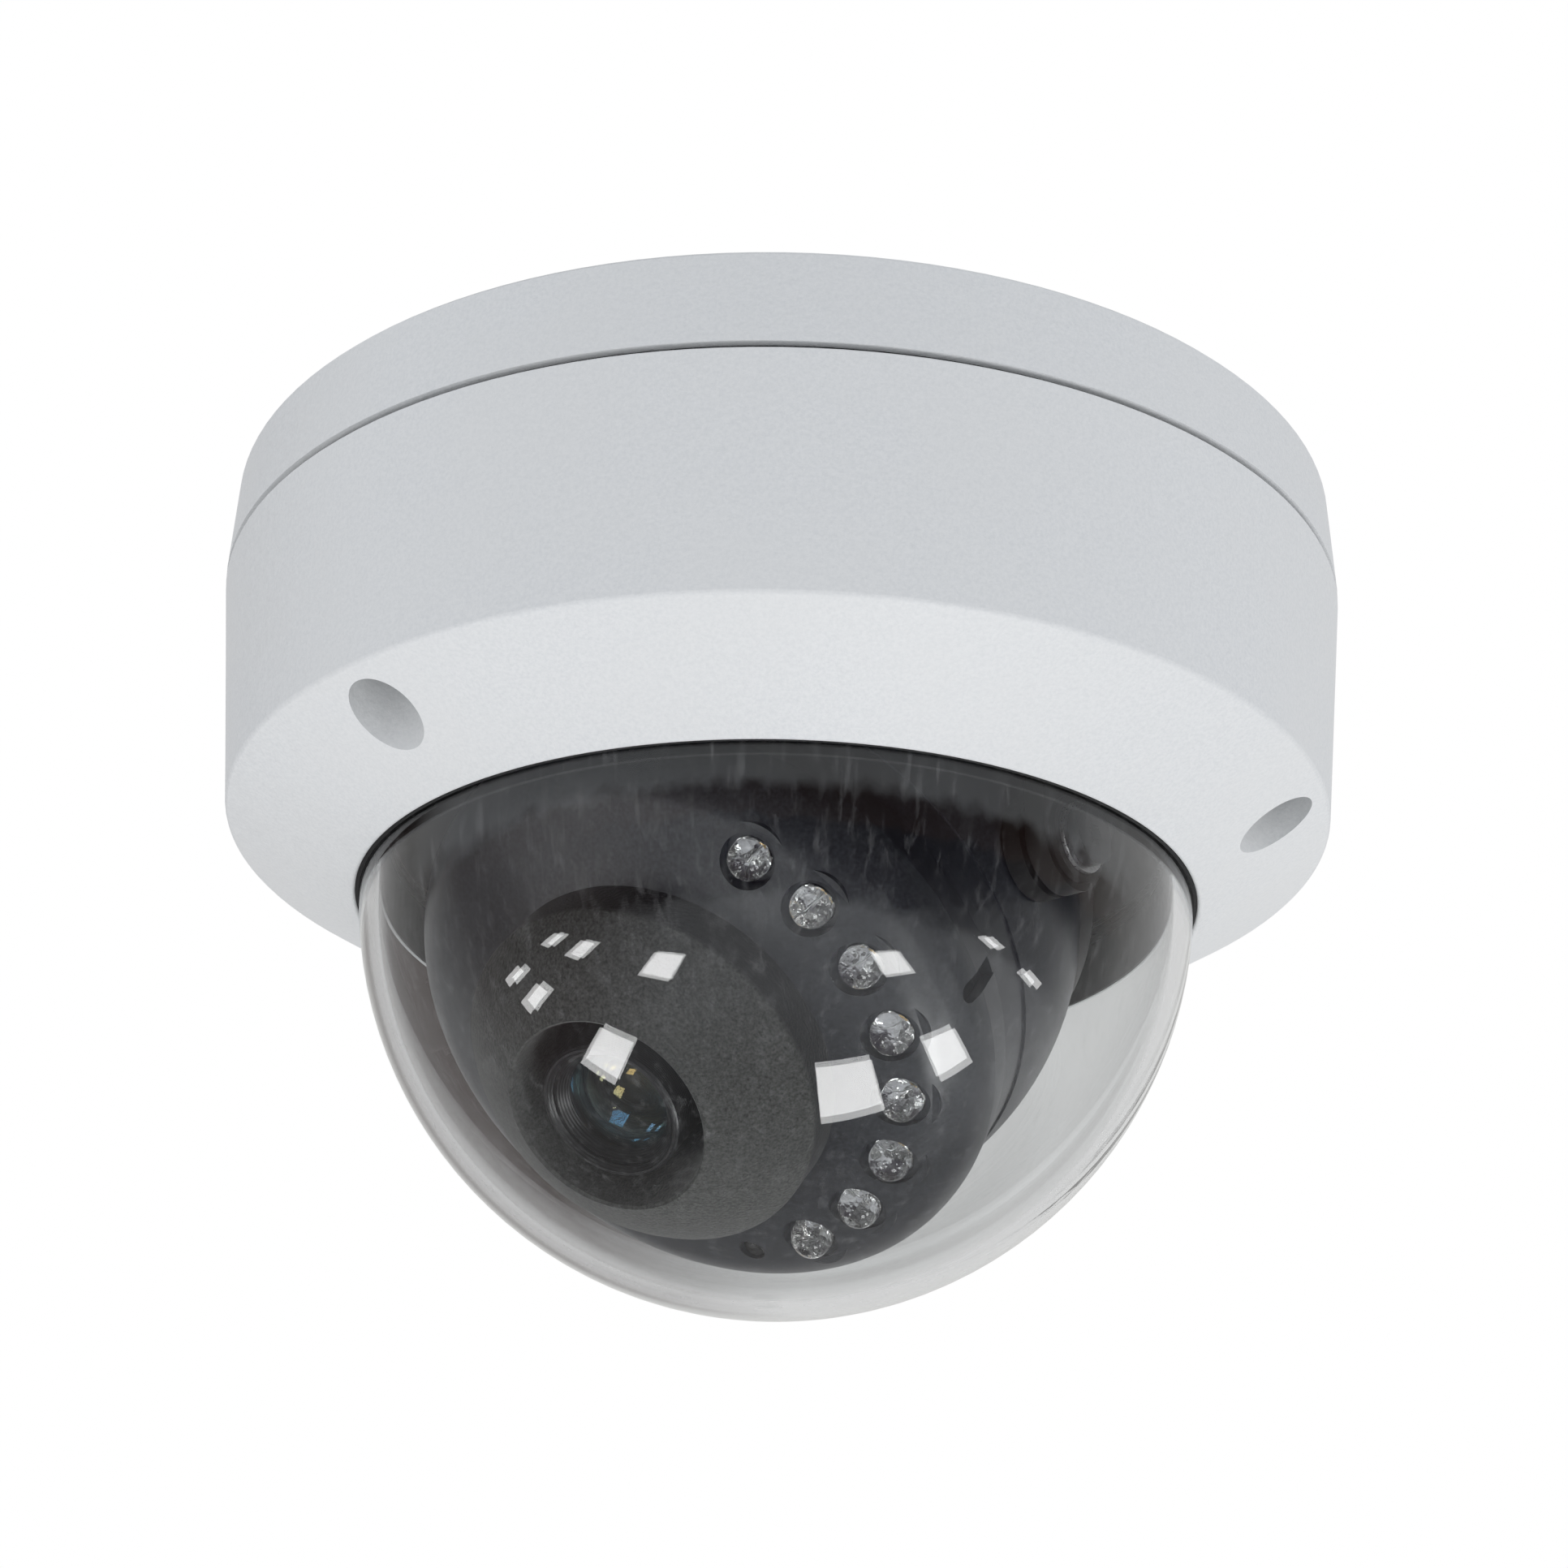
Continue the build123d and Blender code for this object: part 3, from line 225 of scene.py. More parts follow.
def rubber():
    """Matt seals and grommet."""
    material, tree, output, place = start("black_rubber")
    fine = noise(tree, place, 0.0004, 3.0)
    colour = mix(tree, fine, rgb(0.012, 0.012, 0.013), rgb(0.03, 0.03, 0.031))
    principled(tree, output, Base_Color=colour, Roughness=spread(tree, fine, 0.3, 0.7, 0.6, 0.78),
               Normal=bump(tree, fine, 0.00003))
    return material


def polycarbonate():
    """Clear dome with faint upright wipe marks."""
    material, tree, output, place = start("clear_dome")
    stretched = put(tree, "ShaderNodeMapping", {"Vector": place, "Scale": (1.0, 1.0, 0.12)})
    wipe = noise(tree, stretched.outputs[0], 0.0016, 5.0, 0.7)
    haze = spread(tree, wipe, 0.56, 0.80, 0.0, 0.02)
    film = spread(tree, wipe, 0.55, 0.75, 1.0, 0.93)
    shader = principled(tree, output, Base_Color=rgb(0.965, 0.975, 0.975), Roughness=haze, IOR=1.50,
                        Transmission_Weight=film)
    let_lamps_through(tree, output, shader, rgb(0.90, 0.91, 0.91))
    return material


def epoxy():
    """Water-clear body of a lamp."""
    material, tree, output, place = start("lamp_epoxy")
    flow = noise(tree, place, 0.0012, 2.0)
    shader = principled(tree, output, Base_Color=rgb(0.97, 0.98, 0.99), IOR=1.53,
                        Roughness=spread(tree, flow, 0.4, 0.7, 0.0, 0.03),
                        Normal=bump(tree, flow, 0.00004), Transmission_Weight=1.0)
    let_lamps_through(tree, output, shader, rgb(0.92, 0.93, 0.94))
    return material


def coated_glass(name, tint, film, index):
    """Tinted glass with a coating this many nanometres thick."""
    material, tree, output, place = start(name)
    wipe = noise(tree, place, 0.003, 3.0)
    shader = principled(tree, output, Base_Color=tint, IOR=index,
                        Roughness=spread(tree, wipe, 0.45, 0.75, 0.0, 0.02),
                        Transmission_Weight=1.0, Thin_Film_Thickness=film, Thin_Film_IOR=1.38)
    let_lamps_through(tree, output, shader, rgb(0.85, 0.87, 0.88))
    return material


def metal(name, colour, dull, rough, size):
    """Bare or plated metal with fine machining marks."""
    material, tree, output, place = start(name)
    marks = noise(tree, place, size, 4.0, 0.65)
    patches = noise(tree, place, 0.004, 3.0)
    shade = mix(tree, spread(tree, patches, 0.3, 0.7, 0.0, 1.0), colour, dull)
    principled(tree, output, Base_Color=shade, Metallic=1.0,
               Roughness=spread(tree, marks, 0.3, 0.7, rough - 0.07, rough + 0.1),
               Normal=bump(tree, marks, 0.00001))
    return material


def plated():
    """Bright crimped reflector."""
    material, tree, output, place = start("bright_plate")
    marks = noise(tree, place, 0.0005, 3.0, 0.6)
    shade = mix(tree, spread(tree, marks, 0.42, 0.58, 0.0, 1.0),
                rgb(0.98, 0.98, 0.97), rgb(0.74, 0.74, 0.73))
    principled(tree, output, Base_Color=shade, Metallic=1.0,
               Roughness=spread(tree, marks, 0.3, 0.7, 0.10, 0.20),
               Normal=bump(tree, marks, 0.00009))
    return material


def anodised():
    """Black turned barrel: rings about the lens axis."""
    material, tree, output, place = start("lens_metal")
    along = dot(tree, place, tuple(LOOK))
    rings = maths(tree, "SINE", maths(tree, "MULTIPLY", along, BARREL_RINGS))
    fine = noise(tree, place, 0.0003, 3.0)
    colour = mix(tree, fine, rgb(0.004, 0.004, 0.005), rgb(0.010, 0.010, 0.011))
    principled(tree, output, Base_Color=colour, Roughness=spread(tree, fine, 0.3, 0.7, 0.28, 0.38),
               Normal=bump(tree, maths(tree, "MULTIPLY", rings, 0.5), 0.00002))
    return material


def circuit_board(name, mask, track):
    """Solder mask with the copper tracks showing through it."""
    material, tree, output, place = start(name)
    cells = put(tree, "ShaderNodeTexVoronoi", {"Vector": place, "Scale": 420.0, "Randomness": 0.8},
                distance="MANHATTAN", feature="F1")
    lines = maths(tree, "MODULO", cells.outputs["Distance"], 0.32)
    tracks = spread(tree, lines, 0.16, 0.20, 0.0, 1.0)
    fine = noise(tree, place, 0.0006, 2.0)
    colour = mix(tree, maths(tree, "MULTIPLY", tracks, 0.75), mask, track)
    principled(tree, output, Base_Color=colour, Roughness=spread(tree, fine, 0.3, 0.7, 0.28, 0.42),
               Normal=bump(tree, tracks, 0.00003))
    return material


def winding():
    """Enamelled copper wire, turn beside turn; the colour darkens towards the grooves between turns as
    painted shade.
    """
    material, tree, output, place = start("coil_copper")
    along = dot(tree, place, tuple(LOOK))
    turns = maths(tree, "SINE", maths(tree, "MULTIPLY", along, COIL_TURNS))
    level = spread(tree, turns, -1.0, 1.0, 0.0, 1.0)
    # painted shade: the colour follows the turns, darkest in the grooves between them where shade falls
    colour = mix(tree, level, rgb(0.30, 0.12, 0.05), rgb(0.72, 0.36, 0.17))
    principled(tree, output, Base_Color=colour, Metallic=0.8, Roughness=0.3,
               Normal=bump(tree, level, 0.00008))
    return material


def silicon():
    """Image sensor: dark pixel array under its cover glass."""
    material, tree, output, place = start("sensor_glass")
    grid = put(tree, "ShaderNodeTexChecker", {"Vector": place, "Scale": 9000.0})
    cloud = noise(tree, place, 0.002, 2.0)
    colour = mix(tree, grid.outputs["Fac"], rgb(0.02, 0.02, 0.045), rgb(0.05, 0.035, 0.09))
    principled(tree, output, Base_Color=colour, Roughness=spread(tree, cloud, 0.3, 0.7, 0.18, 0.3),
               Coat_Weight=1.0, Coat_Roughness=0.02, Thin_Film_Thickness=520.0, Thin_Film_IOR=1.45)
    return material


looks = {
    "white_paint": powder_coat(),
    "clear_dome": polycarbonate(),
    "black_rubber": rubber(),
    "shell_plastic": moulded("shell_plastic", dark=rgb(0.017, 0.018, 0.022),
                             light=rgb(0.030, 0.032, 0.038),
                             rough=0.36, texture=0.00045, depth=0.000006),
    "bracket_plastic": moulded("bracket_plastic", dark=rgb(0.009, 0.008, 0.008),
                               light=rgb(0.015, 0.014, 0.014),
                               rough=0.50, texture=0.00030, depth=0.000008),
    "shield_foam": foam(),
    "lamp_epoxy": epoxy(),
    "lens_metal": anodised(),
    "lens_glass": coated_glass("lens_glass", tint=rgb(0.50, 0.68, 0.68), film=235.0, index=1.54),
    "filter_glass": coated_glass("filter_glass", tint=rgb(0.55, 0.85, 0.82), film=380.0, index=1.52),
    "steel": metal("steel", colour=rgb(0.60, 0.60, 0.61), dull=rgb(0.46, 0.46, 0.47),
                   rough=0.30, size=0.0003),
    "black_steel": metal("black_steel", colour=rgb(0.07, 0.07, 0.074), dull=rgb(0.035, 0.035, 0.037),
                         rough=0.40, size=0.0003),
    "brass": metal("brass", colour=rgb(0.74, 0.56, 0.28), dull=rgb(0.58, 0.42, 0.20),
                   rough=0.30, size=0.0003),
    "board_green": circuit_board("board_green", mask=rgb(0.006, 0.045, 0.022),
                                 track=rgb(0.016, 0.10, 0.045)),
    "board_black": circuit_board("board_black", mask=rgb(0.010, 0.010, 0.011),
                                 track=rgb(0.022, 0.022, 0.024)),
    "chip_black": moulded("chip_black", dark=rgb(0.016, 0.016, 0.017), light=rgb(0.03, 0.03, 0.031),
                          rough=0.52, texture=0.00018, depth=0.00002),
    "connector_nylon": moulded("connector_nylon", dark=rgb(0.68, 0.64, 0.53),
                               light=rgb(0.76, 0.72, 0.62),
                               rough=0.42, texture=0.0006, depth=0.00001),
    "sensor_glass": silicon(),
    "coil_copper": winding(),
}

for subpart in frame["record"]["subparts"]:
    surface = nodes[subpart["node"]].data
    surface.materials.clear()
    surface.materials.append(looks[subpart["material_slot"]])


# ---------------------------------------------------------------- piece helpers
eye_frame = Matrix((TILT, ACROSS, LOOK)).transposed().to_4x4()
eye_frame.translation = EYE


def at(x, y, z, turn=0.0):
    """Frame standing at a point in millimetres, turned about its own z."""
    return Matrix.Translation((x * MM, y * MM, z * MM)) @ Matrix.Rotation(math.radians(turn), 4, "Z")


def lathe(shape, frame_at, outline, steps=40):
    """Turn a closed outline of (radius, height) millimetres about the frame's z."""
    rings = []
    for radius, height in outline:
        if radius == 0:
            rings.append([shape.verts.new(frame_at @ Vector((0, 0, height * MM)))] * steps)
            continue
        rings.append([shape.verts.new(frame_at @ Vector((
            radius * MM * math.cos(2 * math.pi * step / steps),
            radius * MM * math.sin(2 * math.pi * step / steps), height * MM)))
            for step in range(steps)])
    for first, second in zip(rings, rings[1:] + rings[:1]):
        for step in range(steps):
            after = (step + 1) % steps
            corners = []
            for corner in (first[step], first[after], second[after], second[step]):
                if corner not in corners:
                    corners.append(corner)
            if len(corners) > 2:
                shape.faces.new(corners)


def block(shape, frame_at, length, width, height, edge):
    """Box standing on the frame's origin with its edges rounded, in millimetres."""
    corners = bmesh.ops.create_cube(shape, size=1.0)["verts"]
    size = Matrix.Diagonal((length * MM, width * MM, height * MM, 1.0))
    lift = Matrix.Translation((0, 0, height * MM / 2))
    bmesh.ops.transform(shape, matrix=frame_at @ lift @ size, verts=corners)
    edges = list({line for corner in corners for line in corner.link_edges})
    bmesh.ops.bevel(shape, geom=edges, offset=edge * MM, segments=2, profile=0.5, affect="EDGES")


def tube(shape, points, radius, sides=10):
    """Round wire through points in metres, with closed ends."""
    rings = []
    for number, point in enumerate(points):
        before = points[max(number - 1, 0)]
        after = points[min(number + 1, len(points) - 1)]
        turn = (after - before).to_track_quat("Z", "Y").to_matrix()
        rings.append([shape.verts.new(point + turn @ Vector((
            radius * MM * math.cos(2 * math.pi * side / sides),
            radius * MM * math.sin(2 * math.pi * side / sides), 0.0))) for side in range(sides)])
    for first, second in zip(rings, rings[1:]):
        for side in range(sides):
            after = (side + 1) % sides
            shape.faces.new((first[side], first[after], second[after], second[side]))
    shape.faces.new(rings[0][::-1])
    shape.faces.new(rings[-1])


def piece(name, shape, body, slot, sharp=35.0, look=None):
    """Finish a shape as a named piece on a body, in its slot's material unless another is given."""
    bmesh.ops.recalc_face_normals(shape, faces=shape.faces)
    mesh = bpy.data.meshes.new(name)
    shape.to_mesh(mesh)
    shape.free()
    mesh.shade_smooth()
    mesh.set_sharp_from_angle(angle=math.radians(sharp))
    mesh.materials.append(look or looks[slot])
    made = bpy.data.objects.new(name, mesh)
    bpy.context.scene.collection.objects.link(made)
    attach(made, body)


def dome_points(radius, low, high, steps=7):
    """Outline points of a lens face that rises from low at its rim to high at the axis."""
    rise = high - low
    curve = (radius * radius + rise * rise) / (2 * abs(rise))
    points = []
    for step in range(steps + 1):
        reach = radius * (1 - step / steps)
        drop = curve - math.sqrt(curve * curve - reach * reach)
        points.append((reach, high - math.copysign(drop, rise)))
    return points


# ---------------------------------------------------------------- infrared lamps, inside
# millimetres, in the eyeball's own axes and then in each lamp's
LAMP_COUNT = 8
LAMP_MIDDLE = -20.0         # bearing of the crescent's middle
LAMP_STEP = 17.34
LAMP_RING_R = 29.6
LAMP_BASE = 23.8
CUP_FOOT = 2.2
CUP_TOP = 4.4
CUP_SEAT = CUP_TOP - 1.15   # the chip sits here, at the bottom of the dish
CUP_OUTLINE = [(0, CUP_FOOT), (0.9, CUP_FOOT), (1.7, CUP_FOOT + 0.7), (2.1, CUP_TOP - 0.3),
               (2.1, CUP_TOP), (1.85, CUP_TOP), (1.45, CUP_TOP - 0.55), (1.0, CUP_TOP - 0.6),
               (0.62, CUP_SEAT), (0, CUP_SEAT)]
CUP_STEPS = 26
CRIMP_ALONG = 0.24          # how far the crimping moves the dish's metal
CRIMP_ASIDE = 0.10
# length, width, height and rounded edge of each block
CUP_LEAD = (0.5, 1.5, CUP_FOOT, 0.08)
WIRE_LEAD = (0.5, 0.9, 2.3, 0.08)
LEAD_FOOT = 0.15
CHIP = (0.42, 0.42, 0.35, 0.03)
WIRE_R = 0.05
WIRE_PATH = [(0.05, 3.55), (0.02, 4.2), (-0.3, 4.75), (-0.8, 4.9), (-1.3, 4.75), (-1.62, 4.35)]

leads = bmesh.new()
cups = bmesh.new()
chips = bmesh.new()
wires = bmesh.new()
crumple = random.Random(7)
for number in range(LAMP_COUNT):
    bearing = LAMP_MIDDLE + LAMP_STEP * ((LAMP_COUNT - 1) / 2 - number)
    lamp_frame = eye_frame @ at(LAMP_RING_R * math.cos(math.radians(bearing)),
                                LAMP_RING_R * math.sin(math.radians(bearing)), LAMP_BASE, bearing)
    before = len(cups.verts)
    lathe(cups, lamp_frame, CUP_OUTLINE, CUP_STEPS)
    cups.verts.ensure_lookup_table()
    for vertex in cups.verts[before:]:
        vertex.co += LOOK * (crumple.uniform(-CRIMP_ALONG, CRIMP_ALONG) * MM)
        vertex.co += TILT * (crumple.uniform(-CRIMP_ASIDE, CRIMP_ASIDE) * MM)
    block(leads, lamp_frame @ at(0.45, 0, LEAD_FOOT), *CUP_LEAD)
    block(leads, lamp_frame @ at(-1.35, 0, LEAD_FOOT), *WIRE_LEAD)
    block(chips, lamp_frame @ at(0, 0, CUP_SEAT), *CHIP)
    tube(wires, [lamp_frame @ Vector((x * MM, 0, z * MM)) for x, z in WIRE_PATH], WIRE_R)
piece("lamp_reflectors", cups, "eyeball", "steel", 8.0, plated())
piece("lamp_leads", leads, "eyeball", "steel")
piece("lamp_chips", chips, "eyeball", "brass")
piece("lamp_bond_wires", wires, "eyeball", "steel", 60.0)


# ---------------------------------------------------------------- lens, inside
# millimetres from the eyeball's centre along the lens
LENS_STEPS = 56
ELEMENT_R = 4.9
ELEMENTS = [(35.0, 36.1, 34.0, 33.6), (26.4, 27.4, 25.2, 24.4)]     # front rim, top, back rim, top
STOP_OUTLINES = [
    [(4.95, 36.5), (4.95, 38.3), (4.5, 38.3), (4.1, 37.4), (4.1, 36.9), (4.4, 36.5)],
    [(4.95, 32.2), (4.95, 33.2), (3.4, 33.2), (3.1, 32.9), (3.3, 32.2)],
    [(4.95, 28.8), (4.95, 29.2), (1.7, 29.1), (1.6, 29.0), (1.7, 28.9)],
    [(4.95, 27.7), (4.95, 28.3), (3.9, 28.3), (3.7, 28.1), (3.9, 27.7)],
]

elements = bmesh.new()
for front_rim, front_top, back_rim, back_top in ELEMENTS:
    face = dome_points(ELEMENT_R, front_rim, front_top)
    back = dome_points(ELEMENT_R, back_rim, back_top)
    lathe(elements, eye_frame, face + [(0, back_top)] + back[-2::-1], LENS_STEPS)
piece("lens_inner_elements", elements, "eyeball", "lens_glass", 30.0)

stops = bmesh.new()
for outline in STOP_OUTLINES:
    lathe(stops, eye_frame, outline, LENS_STEPS)
piece("lens_stops", stops, "eyeball", "lens_metal", 30.0)


# ---------------------------------------------------------------- small parts on the main board
# millimetres and degrees
BOARD_UNDER = -8.3
CHIP_PLACES = [             # bearing, radius, length, width
    (0, 26, 14, 14), (52, 27, 12, 8), (100, 26, 10, 10), (150, 30, 8, 8),
    (180, 24, 12, 6), (222, 28, 9, 9), (268, 26, 14, 8), (318, 28, 7, 7),
]
PLUG_BEARINGS = (72, 150, 180, 255, 330)
PLUG_R = 38.5
PLUG_PINS = 5
PIN_PITCH = 1.3
LEG_PITCH = 1.27
PART_COUNT = 64
PART_SPAN = (15.5, 43.0)    # the small parts stand between these radii of the board
PART_REACH = 1.3
PART_GAP = 1.0
# length, width, height and rounded edge of each block
PART = (1.3, 0.95, 0.55, 0.06)
TERMINAL = (0.34, 1.0, 0.6, 0.05)
LEG = (0.45, 1.0, 0.25, 0.05)
PIN = (0.4, 0.4, 3.0, 0.06)

# radius, bearing and reach of what the small parts keep clear of
KEEP_CLEAR = [(radius, bearing, 0.62 * max(length, width) + 1.6)
              for bearing, radius, length, width in CHIP_PLACES]
KEEP_CLEAR += [(PLUG_R, bearing, 6.4) for bearing in PLUG_BEARINGS]
KEEP_CLEAR += [(40.0, 29 + 90 * quarter, 4.2) for quarter in range(4)]      # board screws
KEEP_CLEAR += [(38.0, 2, 7.4)]                                              # network transformer
UPSIDE_DOWN = Matrix.Rotation(math.pi, 4, "X")


def on_board(radius, bearing):
    """Plan position in millimetres at a bearing from the front towards +X."""
    return (radius * math.sin(math.radians(bearing)), -radius * math.cos(math.radians(bearing)))


def board_frame(radius, bearing, turn=0.0):
    """Frame on the board's lower face, with its z downwards."""
    x, y = on_board(radius, bearing)
    return at(x, y, BOARD_UNDER, bearing + turn) @ UPSIDE_DOWN


bodies = bmesh.new()
caps = bmesh.new()
ends = bmesh.new()
legs = bmesh.new()
scatter = random.Random(21)
taken = [(*on_board(radius, bearing), reach) for radius, bearing, reach in KEEP_CLEAR]
while len(taken) < len(KEEP_CLEAR) + PART_COUNT:
    radius = scatter.uniform(*PART_SPAN)
    bearing = scatter.uniform(0, 360)
    x, y = on_board(radius, bearing)
    if any(math.hypot(x - other_x, y - other_y) < reach + PART_GAP
           for other_x, other_y, reach in taken):
        continue
    taken.append((x, y, PART_REACH))
    spot = board_frame(radius, bearing, scatter.choice((0, 90)))
    block(scatter.choice((bodies, caps)), spot, *PART)
    for side in (-1, 1):
        block(ends, spot @ at(side * 0.82, 0, 0), *TERMINAL)
for bearing, radius, length, width in CHIP_PLACES:
    count = int(length / LEG_PITCH)
    for row in (-1, 1):
        for number in range(count):
            along = (number - (count - 1) / 2) * LEG_PITCH
            block(legs, board_frame(radius, bearing) @ at(along, row * (width / 2 + 0.45), 0), *LEG)
for bearing in PLUG_BEARINGS:
    for number in range(PLUG_PINS):
        along = (number - (PLUG_PINS - 1) / 2) * PIN_PITCH
        block(legs, board_frame(PLUG_R, bearing) @ at(along, 0, 0.5), *PIN)
piece("board_resistors", bodies, "base", "chip_black")
piece("board_capacitors", caps, "base", "connector_nylon")
piece("board_terminals", ends, "base", "steel")
piece("board_pins", legs, "base", "steel")


# ---------------------------------------------------------------- light
PANEL_DROP = 1.0            # the panels hang face up this far below the ceiling face, in metres
PANEL_SIZE = (0.27, 0.30)
PANEL_RADIANCE = 14.0
PANEL_FILL = 0.6            # strength for all but mirrors and clear pieces, which see a panel in full
PANEL_PLACES = [            # sideways and towards the front, for each metre of drop
    (-2.57, 0.29), (-1.86, 0.29), (-0.84, 0.28), (0.32, 0.285), (0.92, 0.305), (2.65, 0.40),
    (-2.55, 1.07), (-1.84, 1.07), (-0.82, 1.10), (0.89, 1.18), (2.58, 1.22),
]
for number, (sideways, forward) in enumerate(PANEL_PLACES):
    panel = bpy.data.lights.new(f"panel_{number}", "AREA")
    panel.shape = "RECTANGLE"
    panel.size, panel.size_y = PANEL_SIZE
    panel.energy = PANEL_RADIANCE * math.pi * PANEL_SIZE[0] * PANEL_SIZE[1]
    lamp = bpy.data.objects.new(f"panel_{number}", panel)
    lamp.location = (sideways * PANEL_DROP, -forward * PANEL_DROP, -PANEL_DROP)
    lamp.rotation_euler = (math.pi, 0.0, 0.0)
    lamp.visible_camera = False
    panel.use_nodes = True
    glow = panel.node_tree.nodes["Emission"]
    glossy = put(panel.node_tree, "ShaderNodeLightPath").outputs["Is Glossy Ray"]
    feed(panel.node_tree, glow.inputs["Strength"],
         spread(panel.node_tree, glossy, 0.0, 1.0, PANEL_FILL, 1.0))
    bpy.context.scene.collection.objects.link(lamp)

# the room: what lights plain surfaces, and what mirrors and clear pieces show
WHITE = rgb(1.0, 1.0, 1.0)
BLACK = rgb(0.0, 0.0, 0.0)
SOFT_BELOW = rgb(0.50, 0.51, 0.53)
SOFT_ABOVE = rgb(0.66, 0.68, 0.71)
SOFT_BEHIND = rgb(0.80, 0.80, 0.80)
SKYLINE_LOW = rgb(0.030, 0.022, 0.036)
SKYLINE_HIGH = rgb(0.115, 0.065, 0.058)
BRIGHT_ABOVE = rgb(0.95, 0.97, 1.0)
PALE_BELOW = rgb(0.50, 0.505, 0.53)
STRAIGHT_DOWN = rgb(0.18, 0.18, 0.185)
LEFT_BELOW = rgb(0.12, 0.085, 0.08)
CORNER_DIM = rgb(0.060, 0.046, 0.044)
CORNER_LIT = rgb(0.66, 0.66, 0.66)
LOW_BEHIND = rgb(0.17, 0.165, 0.165)
PALE_WALL = rgb(0.72, 0.72, 0.71)
BEHIND = (0.0, 0.913, 0.407)    # the way the main camera looks, fixed in the room
INSIDE_DIMMING = (0.25, 0.88)   # how much of the room, below and above the skyline, is kept off
                                # the pieces under the dome


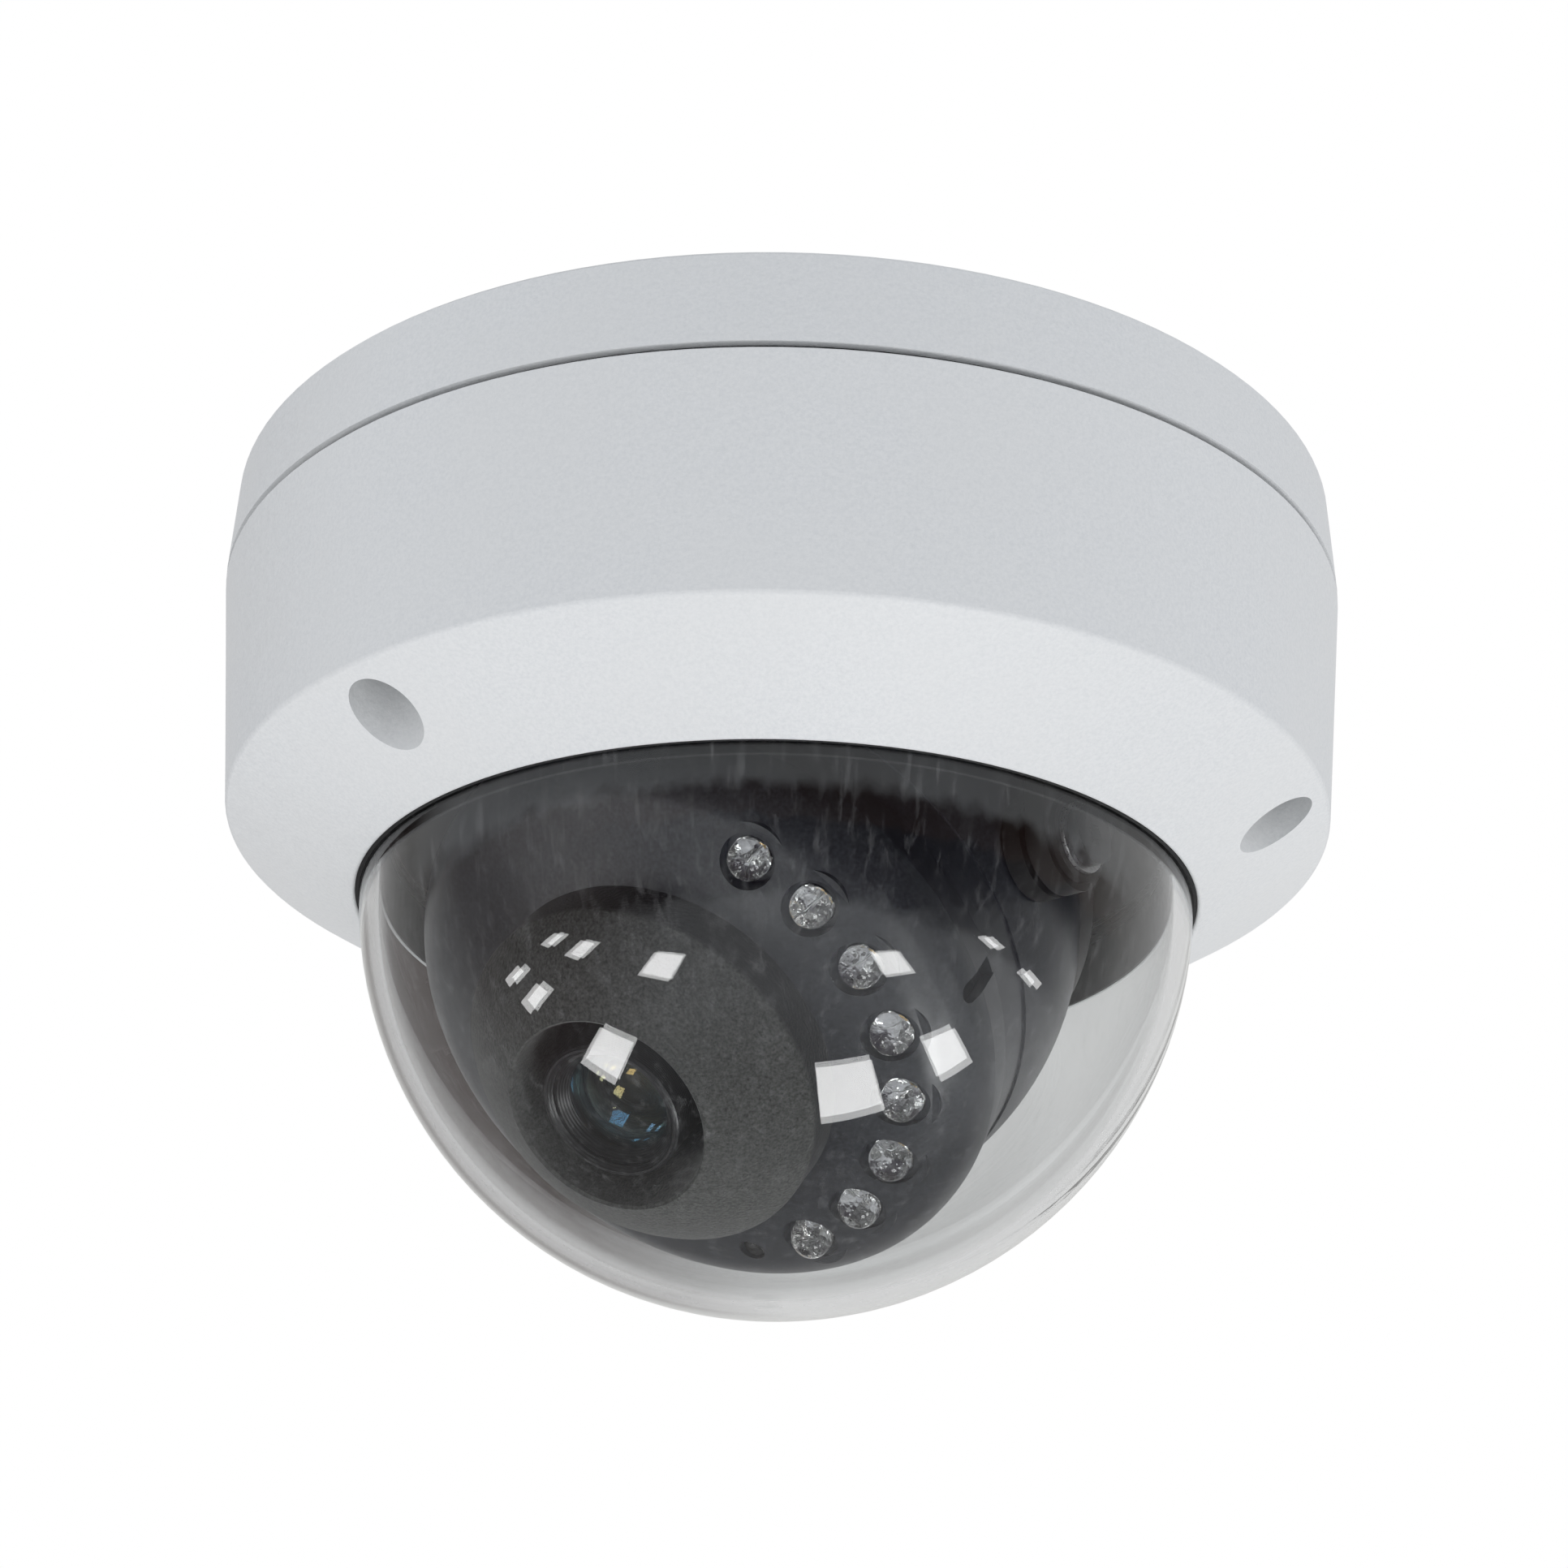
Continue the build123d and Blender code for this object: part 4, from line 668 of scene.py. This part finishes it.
def surroundings():
    """The camera sees white and plain surfaces are lit by a soft room. Mirrors and clear pieces
    show a room that is bright above and pale below, with a dark ragged skyline between. Behind the
    part its corner is dim on the left and lit on the right. The dome's rim shows a pale wall."""
    world = bpy.data.worlds.new("surroundings")
    bpy.context.scene.world = world
    world.cycles.sampling_method = "NONE"
    world.use_nodes = True
    tree = world.node_tree
    tree.nodes.clear()
    direction = put(tree, "ShaderNodeTexCoord").outputs["Generated"]
    sideways, forward, up = put(tree, "ShaderNodeSeparateXYZ", {0: direction}).outputs
    bearing = maths(tree, "DIVIDE", sideways, forward)
    towards_behind = dot(tree, direction, BEHIND)
    ray = put(tree, "ShaderNodeLightPath").outputs
    through = ray["Is Transmission Ray"]
    # a sharp ray through glass counts as glossy too, so those are taken off
    mirrored = maths(tree, "MAXIMUM", maths(tree, "SUBTRACT", ray["Is Glossy Ray"], through), 0.0)

    soft = mix(tree, spread(tree, up, -0.35, 0.25, 0.0, 1.0), SOFT_BELOW, SOFT_ABOVE)
    soft = mix(tree, spread(tree, forward, 0.15, 0.55, 0.0, 1.0), soft, SOFT_BEHIND)

    ragged = put(tree, "ShaderNodeTexVoronoi", {"Vector": direction, "Scale": 9.0},
                 distance="CHEBYCHEV").outputs["Distance"]
    edge = maths(tree, "ADD", up, spread(tree, ragged, 0.0, 0.6, -0.03, 0.03))
    shown = mix(tree, spread(tree, edge, 0.02, 0.045, 0.0, 1.0), SKYLINE_LOW, SKYLINE_HIGH)
    shown = mix(tree, spread(tree, edge, 0.15, 0.22, 0.0, 1.0), shown, BRIGHT_ABOVE)
    shown = mix(tree, spread(tree, edge, -0.36, -0.29, 1.0, 0.0), shown, PALE_BELOW)
    shown = mix(tree, spread(tree, up, -0.94, -0.72, 1.0, 0.0), shown, STRAIGHT_DOWN)
    left_below = maths(tree, "MULTIPLY", spread(tree, sideways, -0.80, -0.45, 0.85, 0.0),
                       spread(tree, up, 0.02, 0.14, 1.0, 0.0))
    shown = mix(tree, left_below, shown, LEFT_BELOW)
    inside = maths(tree, "MULTIPLY", through, spread(tree, up, -0.2, 0.1, *INSIDE_DIMMING))
    shown = mix(tree, inside, shown, BLACK)

    # the dome's thick rim turns a view aside, so it takes the lit wall from beside the corner
    aside = maths(tree, "MULTIPLY", spread(tree, towards_behind, 0.90, 0.94, 1.0, 0.0), through)
    lit = maths(tree, "MAXIMUM", spread(tree, bearing, -0.13, 0.03, 0.0, 1.0), aside)
    corner = mix(tree, lit, CORNER_DIM, CORNER_LIT)
    shown = mix(tree, spread(tree, forward, 0.10, 0.40, 0.0, 1.0), shown, corner)
    low_behind = maths(tree, "MULTIPLY", spread(tree, forward, 0.10, 0.30, 0.0, 0.9),
                       spread(tree, up, -0.55, -0.35, 1.0, 0.0))
    low_behind = maths(tree, "MULTIPLY", low_behind, ray["Is Glossy Ray"])
    shown = mix(tree, low_behind, shown, LOW_BEHIND)
    glancing = maths(tree, "MULTIPLY", spread(tree, towards_behind, 0.80, 0.92, 0.0, 1.0), mirrored)
    bent = maths(tree, "MULTIPLY", spread(tree, sideways, 0.76, 0.88, 0.0, 1.0),
                 spread(tree, forward, -0.05, 0.15, 0.0, 1.0))
    bent = maths(tree, "MULTIPLY", bent, through)
    shown = mix(tree, maths(tree, "MAXIMUM", glancing, bent), shown, PALE_WALL)

    colour = mix(tree, ray["Is Diffuse Ray"], shown, soft)
    colour = mix(tree, ray["Is Camera Ray"], colour, WHITE)
    background = put(tree, "ShaderNodeBackground", {"Color": colour, "Strength": 1.0})
    output = put(tree, "ShaderNodeOutputWorld")
    tree.links.new(background.outputs[0], output.inputs["Surface"])


surroundings()


# ---------------------------------------------------------------- floor
FLOOR_Z = -1.25             # below the panels, so it shades nothing
HALF_FLOOR = 40.0

floor_mesh = bpy.data.meshes.new("floor")
floor_mesh.from_pydata([(x * HALF_FLOOR, y * HALF_FLOOR, FLOOR_Z)
                        for x, y in ((-1, -1), (1, -1), (1, 1), (-1, 1))], [], [(0, 1, 2, 3)])
floor = bpy.data.objects.new("floor", floor_mesh)
bpy.context.scene.collection.objects.link(floor)
floor_look, tree, output, place = start("floor")
pale = mix(tree, noise(tree, place, 0.5), rgb(0.86, 0.86, 0.86), rgb(0.90, 0.90, 0.90))
principled(tree, output, Roughness=0.8, Base_Color=pale)
floor.data.materials.append(floor_look)
floor.visible_glossy = False
floor.visible_diffuse = False
floor.visible_transmission = False
